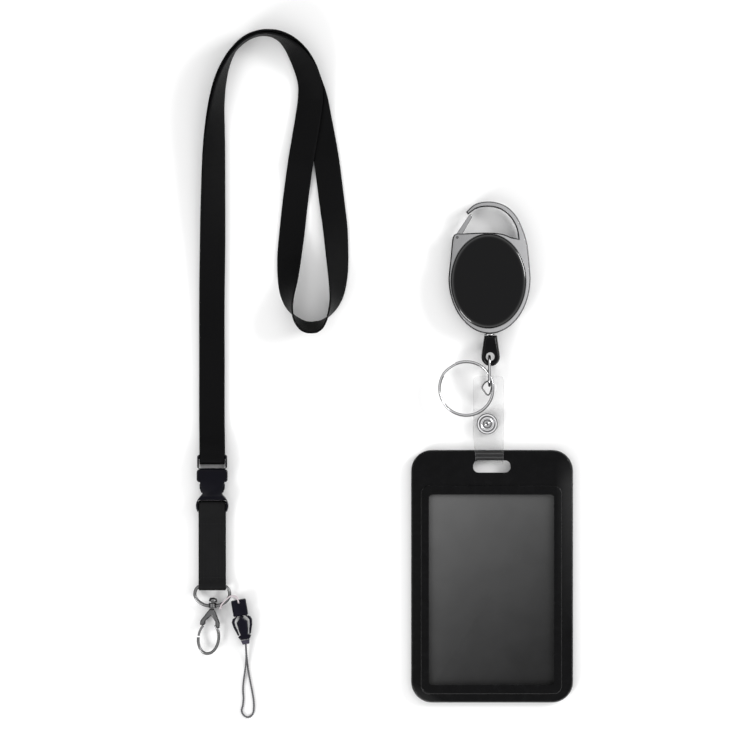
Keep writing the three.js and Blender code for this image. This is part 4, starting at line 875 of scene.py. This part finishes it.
# ---------------------------------------------------------------- link and small ring
# A slim oval link of chromed wire, seen on its edge, joins the cord end to the strap. A small
# three-cornered ring hangs on it.
LINK_X, LINK_Z, LINK_WIRE, LINK_HALF = -0.0012, 0.0044, 0.0006, 0.00295
LINK_TOP, LINK_BOTTOM, LINK_END_STEPS = 0.0949, 0.0822, 24
SMALL_RING_WIRE, SMALL_RING_Z = 0.00034, 0.0036
SMALL_RING_CORNERS = [
    (-0.2, 83.4), (-1.6, 84.15), (-3.2, 83.4), (-4.3, 81.3), (-3.6, 80), (-2, 78.2),
    (-1.2, 78.5), (-0.5, 80.4),
]
bright_wire = metal_finish("bright_wire", 0.72, 0.12, 0.3)
link_line = []
for centre, start in ((LINK_TOP - LINK_HALF, 0.0), (LINK_BOTTOM + LINK_HALF, math.pi)):
    for i in range(LINK_END_STEPS + 1):
        angle = start + math.pi * i / LINK_END_STEPS
        link_line.append(Vector((LINK_X, centre + LINK_HALF * math.sin(angle),
                                 LINK_Z + LINK_HALF * math.cos(angle))))
seat(bent_wire("oval_link", link_line, LINK_WIRE, 14, bright_wire), "hanging_link", "chrome", "link")
corner_line = smooth_line([(x / 1000, y / 1000, SMALL_RING_Z) for x, y in SMALL_RING_CORNERS], 12,
                          closed=True)
seat(bent_wire("three_cornered_ring", corner_line, SMALL_RING_WIRE, 12, nickel), "hanging_link",
     "chrome", "small_ring")


# ---------------------------------------------------------------- split ring
# A key ring of two turns of flattened spring wire lying on each other, with a short step where the
# lower turn climbs to the upper one.
SPLIT_MIDDLE = (-0.0111, 0.0808)
SPLIT_RADIUS, SPLIT_WIRE, SPLIT_Z = 0.01155, 0.0005, 0.00485
SPLIT_START = math.radians(150)
# How far round the step between the turns goes, in radians, and how the upper turn is moved by it
STEP_TURN = 0.5
UPPER_TURN = Vector((-0.00015, 0.0003, 0.0011))
SPLIT_STEPS = 360
split_line = []
for i in range(SPLIT_STEPS + 1):
    turn = (4 * math.pi - 1.3 * STEP_TURN) * i / SPLIT_STEPS
    climb = min(max((turn - 2 * math.pi + STEP_TURN) / STEP_TURN, 0), 1)
    climb = climb * climb * (3 - 2 * climb)
    angle = SPLIT_START + turn
    lower = Vector((SPLIT_MIDDLE[0] + SPLIT_RADIUS * math.cos(angle),
                    SPLIT_MIDDLE[1] + SPLIT_RADIUS * math.sin(angle), SPLIT_Z))
    split_line.append(lower + UPPER_TURN * climb)
split_ring = as_piece("key_ring_coil", loft("key_ring_coil", sweep(split_line, SPLIT_WIRE, 12)),
                      bright_wire, 0.00012, sharp=60)
seat(split_ring, "key_ring", "chrome", "split_ring")


# ---------------------------------------------------------------- clear strap
# One strip of soft clear vinyl, 0.6 mm thick: threaded through the holder's slot, folded back on
# itself and closed by the snap, with a hole at its top for the link.
STRAP_SHEET = 0.0006
STRAP_PATH = [
    (86.5, 2.75), (83, 2.75), (79, 2.75), (75, 2.75), (71, 2.75), (66, 2.75), (61, 2.75),
    (58, 2.78), (56.6, 3.0), (55.2, 3.7), (54, 4.15), (52.6, 4.29), (51, 4.29), (49.75, 3.85),
    (48.75, 3.05), (48.55, 2.4), (48.8, 1.65), (49.75, 0.85), (51, 0.5), (52.6, 0.5), (54, 0.65),
    (55.2, 1.15), (56.6, 1.85), (58, 2.08), (61, 2.14), (66, 2.15), (72.3, 2.15),
]
STRAP_X, STRAP_WIDTH = -0.00156, 0.0131
# In the holder's slot the strap lies a little to the right and is narrower
SLOT_SHIFT, SLOT_NARROWING = 0.00036, 0.0011
STRAP_CORNER, STRAP_END_WIDTH = 0.0022, 0.0012
HOLE_MIDDLE = (-0.0014, 0.0812, 0.00275)
HOLE_RADIUS, HOLE_STRETCH = 0.003, 0.00045


def vinyl_finish(name, alpha, shade, painted_band_strength=0.0):
    finish = Finish(name, IOR=1.5, Specular_IOR_Level=0.25)
    place = finish.place()
    ripple = finish.noise(place, 0.18, 3.0)
    haze = finish.noise(place, 1.2, 4.0)
    finish.feed("Base Color", finish.blend_colours(haze, (shade, shade, shade, 1),
                                                   (shade * 1.3, shade * 1.3, shade * 1.32, 1)))
    y = finish.node("ShaderNodeSeparateXYZ", {}, [place], 1)
    # Below the fold, bands of more opaque grey are painted highlights across the strap.
    folded = finish.between(y, 54.6, 53.8)
    line = finish.between(finish.wave(y + ripple * 0.4, 1.7), 0.3, 0.9)
    finish.feed("Alpha", haze * 0.03 + folded * line * painted_band_strength + alpha)
    finish.feed("Roughness", haze * 0.1 + 0.08)
    finish.bump(ripple, 0.0004, 0.35)
    return finish.material


def strap_line_and_widths():
    """The strap's middle line, and its width at each point of it, with a rounded free end."""
    line = smooth_line([(STRAP_X, y / 1000, z / 1000) for y, z in STRAP_PATH], 8)
    widths, run = [], run_along(line)
    for i, point in enumerate(line):
        narrow = min(max((0.060 - point.y) / 0.008, 0), 1)
        into = min(run[i], STRAP_CORNER)
        chord = math.sqrt(max(STRAP_CORNER ** 2 - (STRAP_CORNER - into) ** 2, 0))
        width = STRAP_WIDTH - SLOT_NARROWING * narrow
        widths.append(max(width - 2 * (STRAP_CORNER - chord), STRAP_END_WIDTH))
        point.x = STRAP_X + SLOT_SHIFT * narrow
    return line, widths


def punch_hole(strap):
    """Cuts the link's hole, a circle drawn out sideways, through the top of the strap."""
    tool = bmesh.new()
    bmesh.ops.create_cone(tool, cap_ends=True, segments=48, radius1=HOLE_RADIUS,
                          radius2=HOLE_RADIUS, depth=0.002)
    for vertex in tool.verts:
        vertex.co.x += HOLE_STRETCH if vertex.co.x > 0 else -HOLE_STRETCH
        vertex.co += Vector(HOLE_MIDDLE)
    tool_mesh = bpy.data.meshes.new("strap hole")
    tool.to_mesh(tool_mesh)
    tool.free()
    punch = bpy.data.objects.new("strap hole", tool_mesh)
    bpy.context.collection.objects.link(punch)
    cut = strap.modifiers.new("hole", "BOOLEAN")
    cut.object = punch
    cut.solver = "EXACT"
    graph = bpy.context.evaluated_depsgraph_get()
    punched = bpy.data.meshes.new_from_object(strap.evaluated_get(graph))
    strap.modifiers.clear()
    strap.data = punched
    bpy.data.objects.remove(punch)


def coat_edges(mesh, face_material, edge_material):
    """The sheet's cut edges and the wall of its hole show more of the vinyl than its faces."""
    mesh.materials.clear()
    mesh.materials.append(face_material)
    mesh.materials.append(edge_material)
    for face in mesh.polygons:
        in_hole = (abs(face.center.y - HOLE_MIDDLE[1]) < HOLE_RADIUS + 0.0001
                   and abs(face.center.x - HOLE_MIDDLE[0]) < HOLE_RADIUS + 0.0006)
        if abs(face.normal.x) > 0.6 or in_hole and abs(face.normal.z) < 0.5:
            face.material_index = 1


strap_line, strap_widths = strap_line_and_widths()
vinyl = vinyl_finish("clear_vinyl", 0.035, 0.2, 0.09)
vinyl_edge = vinyl_finish("clear_vinyl_edge", 0.42, 0.36)
strap = flat_band("snap_strap", strap_line, strap_widths, STRAP_SHEET, vinyl)
punch_hole(strap)
coat_edges(strap.data, vinyl, vinyl_edge)
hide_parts("strap_upper", "strap_loop")
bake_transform(strap)


# ---------------------------------------------------------------- snap
# A nickel-plated brass snap: the socket half in front with its rolled rim, the flat cap behind,
# and the post that is riveted through both.
SNAP_MIDDLE = (-2.1, 65.7)
SNAP_PLACE = Matrix.Translation((SNAP_MIDDLE[0] / 1000, SNAP_MIDDLE[1] / 1000, 0))


def snap_finish():
    """Bright plate with painted shade: dark rings round its middle, in and beside the grooves
    between its rings.
    """
    finish = Finish("snap_plate", Metallic=1.0)
    place = finish.place()
    x = finish.node("ShaderNodeSeparateXYZ", {}, [place], 0) - SNAP_MIDDLE[0]
    y = finish.node("ShaderNodeSeparateXYZ", {}, [place], 1) - SNAP_MIDDLE[1]
    out = (x * x + y * y) ** 0.5
    grooves = 0.0
    for radius, half_width in ((4.42, 0.22), (3.25, 0.3), (1.75, 0.28), (0.35, 0.35)):
        off = finish.node("ShaderNodeMath", {"operation": "ABSOLUTE"}, [out - radius])
        grooves = grooves + finish.between(off, half_width + 0.12, half_width * 0.5)
    spots = finish.noise(place, 1.5, 4.0)
    painted_groove_shade = finish.node("ShaderNodeMath", {"operation": "MINIMUM"}, [grooves * 0.93, 1.0])
    # The rings are painted dark: painted shade.
    finish.feed("Base Color", finish.blend_colours(painted_groove_shade, (0.88, 0.88, 0.89, 1),
                                                   (0.05, 0.05, 0.055, 1)))
    finish.feed("Roughness", spots * 0.15 + painted_groove_shade * 0.15 + 0.08)
    finish.bump(spots, 0.00002, 0.3)
    return finish.material


snap_plate = snap_finish()
socket_z, cap_top = 0.00315, 0.00175
socket_profile = [(1.3, 0), (4.4, 0), (4.5, 0.1), (4.5, 0.3), (4.35, 0.45), (4.1, 0.47),
                  (3.85, 0.36), (3.6, 0.3), (3.42, 0.36), (3.32, 0.6), (3.18, 0.82), (2.95, 0.9),
                  (2.6, 0.88), (2.4, 0.7), (2.25, 0.42), (2.0, 0.34), (1.7, 0.36), (1.3, 0.38)]
socket = turned("snap_socket_half", [(r / 1000, socket_z + h / 1000) for r, h in socket_profile],
                SNAP_PLACE, snap_plate, 72)
seat(socket, "clear_strap", "chrome", "snap_socket")
cap_profile = [(0, -0.9), (3.9, -0.9), (4.3, -0.75), (4.5, -0.45), (4.5, -0.05), (4.4, 0), (1.2, 0),
               (1.2, 1.8), (1.1, 1.95), (0.8, 1.98), (0.55, 1.8), (0.3, 1.7), (0, 1.68)]
cap = turned("snap_cap_half", [(r / 1000, cap_top + h / 1000) for r, h in cap_profile], SNAP_PLACE,
             snap_plate, 72)
seat(cap, "clear_strap", "chrome", "snap_cap")


# ---------------------------------------------------------------- card holder
# A rigid black ABS frame with eased edges and a raised bezel round the window; the back panel
# slides out at the foot on two tongues to let a card in.


def holder_finish():
    """Black ABS whose border rolls down a little to its right side and lower left corner."""
    finish = Finish("holder_black_abs", Specular_IOR_Level=0.1, Coat_Roughness=0.22)
    place = finish.place()
    x = finish.node("ShaderNodeSeparateXYZ", {}, [place], 0)
    y = finish.node("ShaderNodeSeparateXYZ", {}, [place], 1)
    cloud = finish.noise(place, 0.25, 3.0)
    pits = finish.noise(place, 7.0, 2.0)
    finish.feed("Base Color", finish.blend_colours(cloud, (0.0018, 0.0018, 0.002, 1),
                                                   (0.0042, 0.0042, 0.0046, 1)))
    finish.feed("Roughness", cloud * 0.12 + pits * 0.1 + 0.15)
    right = finish.between(x, 27.5, 34.9)
    upper = finish.between(y, -25.0, 32.0) * finish.between(y, 52.0, 40.0)
    corner = finish.between(y * -1.0 - x * 0.6, 66.0, 74.0)
    rolled = right * upper + corner
    edges = finish.between(finish.steepness(), 0.015, 0.12, 0.9)
    finish.feed("Coat Weight", finish.node("ShaderNodeMath", {"operation": "MINIMUM"},
                                           [edges + rolled * 0.9, 1.0]))
    finish.bump(pits * 0.00001 - rolled * rolled * 0.0011, 1.0)
    return finish.material


holder_plastic = holder_finish()
seat(from_cad("holder_border", "holder_frame", holder_plastic, 0.0004, sharp=35, steps=3),
     "card_holder", "matt_black", "holder_frame")
seat(from_cad("holder_back_panel", "holder_back", matt_black, 0.0002), "card_holder_back",
     "matt_black", "holder_back")


# ---------------------------------------------------------------- window
# A clear rigid sheet set under the bezel. Its painted reflection, a grey veil, is strongest
# towards the upper left and fades out towards the lower right.
WINDOW_MIDDLE = (-0.3, -5.8)


def pane_finish():
    finish = Finish("window_pane", IOR=1.49, Specular_IOR_Level=0.1)
    place = finish.place()
    x = finish.node("ShaderNodeSeparateXYZ", {}, [place], 0) - WINDOW_MIDDLE[0]
    y = finish.node("ShaderNodeSeparateXYZ", {}, [place], 1) - WINDOW_MIDDLE[1]
    slope = (y - x * 0.75) / 122.0 + 0.5
    ramp = finish.node("ShaderNodeMapRange", {}, {"Value": slope})
    # A painted reflection: more opaque grey towards the upper left, fading towards the lower right.
    painted_reflection = ramp ** 1.7 * 0.105 + 0.007
    smudge = finish.noise(place, 0.1, 3.0)
    finish.feed("Base Color", finish.blend_colours(smudge, (0.5, 0.5, 0.5, 1),
                                                   (0.55, 0.55, 0.55, 1)))
    finish.feed("Alpha", painted_reflection + smudge * 0.01)
    finish.feed("Roughness", smudge * 0.1 + 0.12)
    return finish.material


pane = from_cad("window_sheet", "holder_window", pane_finish(), 0)
seat(pane, "card_holder", "clear_pane", "holder_window")


# ---------------------------------------------------------------- floor and light
# A plain pale table with two soft lights low at its sides. The room is dark near the horizon,
# brightest in a band part way up and duller overhead, so that flat black plastic stays black.
FLOOR_HALF = 3
LIGHT_DISTANCE = 1.3
LIGHT_TILT = 62
LIGHT_SIZE = 0.5
# The room's light by how high it comes from: 0 is the horizon, 1 is straight overhead
SKY_BANDS = ((0.42, 0.3), (0.55, 1.9), (0.86, 1.9), (0.95, 1.0))
SKY_STRENGTH = 0.6
floor_mesh = bpy.data.meshes.new("table")
floor_mesh.from_pydata([(x * FLOOR_HALF, y * FLOOR_HALF, 0)
                        for x, y in ((-1, -1), (1, -1), (1, 1), (-1, 1))], [], [(0, 1, 2, 3)])
floor = bpy.data.objects.new("table", floor_mesh)
bpy.context.collection.objects.link(floor)
table_top = Finish("white_table", Specular_IOR_Level=0.1)
grain = table_top.noise(table_top.place(), 0.02, 2.0)
table_top.feed("Base Color", table_top.blend_colours(grain, (0.93, 0.93, 0.93, 1),
                                                     (0.95, 0.95, 0.95, 1)))
table_top.shader.inputs["Roughness"].default_value = 0.7
floor_mesh.materials.append(table_top.material)

for name, angle, power in (("right panel", 20, 9), ("left panel", 225, 8)):
    panel = bpy.data.lights.new(name, "AREA")
    panel.shape = "RECTANGLE"
    panel.size, panel.size_y = LIGHT_SIZE, LIGHT_SIZE * 0.6
    panel.energy = power
    lamp = bpy.data.objects.new(name, panel)
    turn, rise = math.radians(angle), math.radians(90 - LIGHT_TILT)
    away = Vector((math.cos(turn) * math.cos(rise), math.sin(turn) * math.cos(rise),
                   math.sin(rise)))
    lamp.location = Vector((*VIEW_MIDDLE, 0)) + away * LIGHT_DISTANCE
    lamp.rotation_euler = away.to_track_quat("Z", "Y").to_euler()
    bpy.context.collection.objects.link(lamp)

world = bpy.data.worlds.new("studio")
world.use_nodes = True
sky = world.node_tree
background = sky.nodes["Background"]
direction = sky.nodes.new("ShaderNodeTexCoord")
split = sky.nodes.new("ShaderNodeSeparateXYZ")
ramp = sky.nodes.new("ShaderNodeValToRGB")
band = ramp.color_ramp
band.elements[0].position = 0.3
band.elements[0].color = (0.03, 0.03, 0.032, 1)
band.elements[1].position = 0.99
band.elements[1].color = (0.95, 0.95, 0.96, 1)
for place, level in SKY_BANDS:
    stop = band.elements.new(place)
    stop.color = (level, level, level, 1)
sky.links.new(direction.outputs["Generated"], split.inputs[0])
sky.links.new(split.outputs[2], ramp.inputs[0])
sky.links.new(ramp.outputs[0], background.inputs[0])
background.inputs[1].default_value = SKY_STRENGTH
bpy.context.scene.world = world
bpy.context.scene.view_settings.view_transform = "Standard"
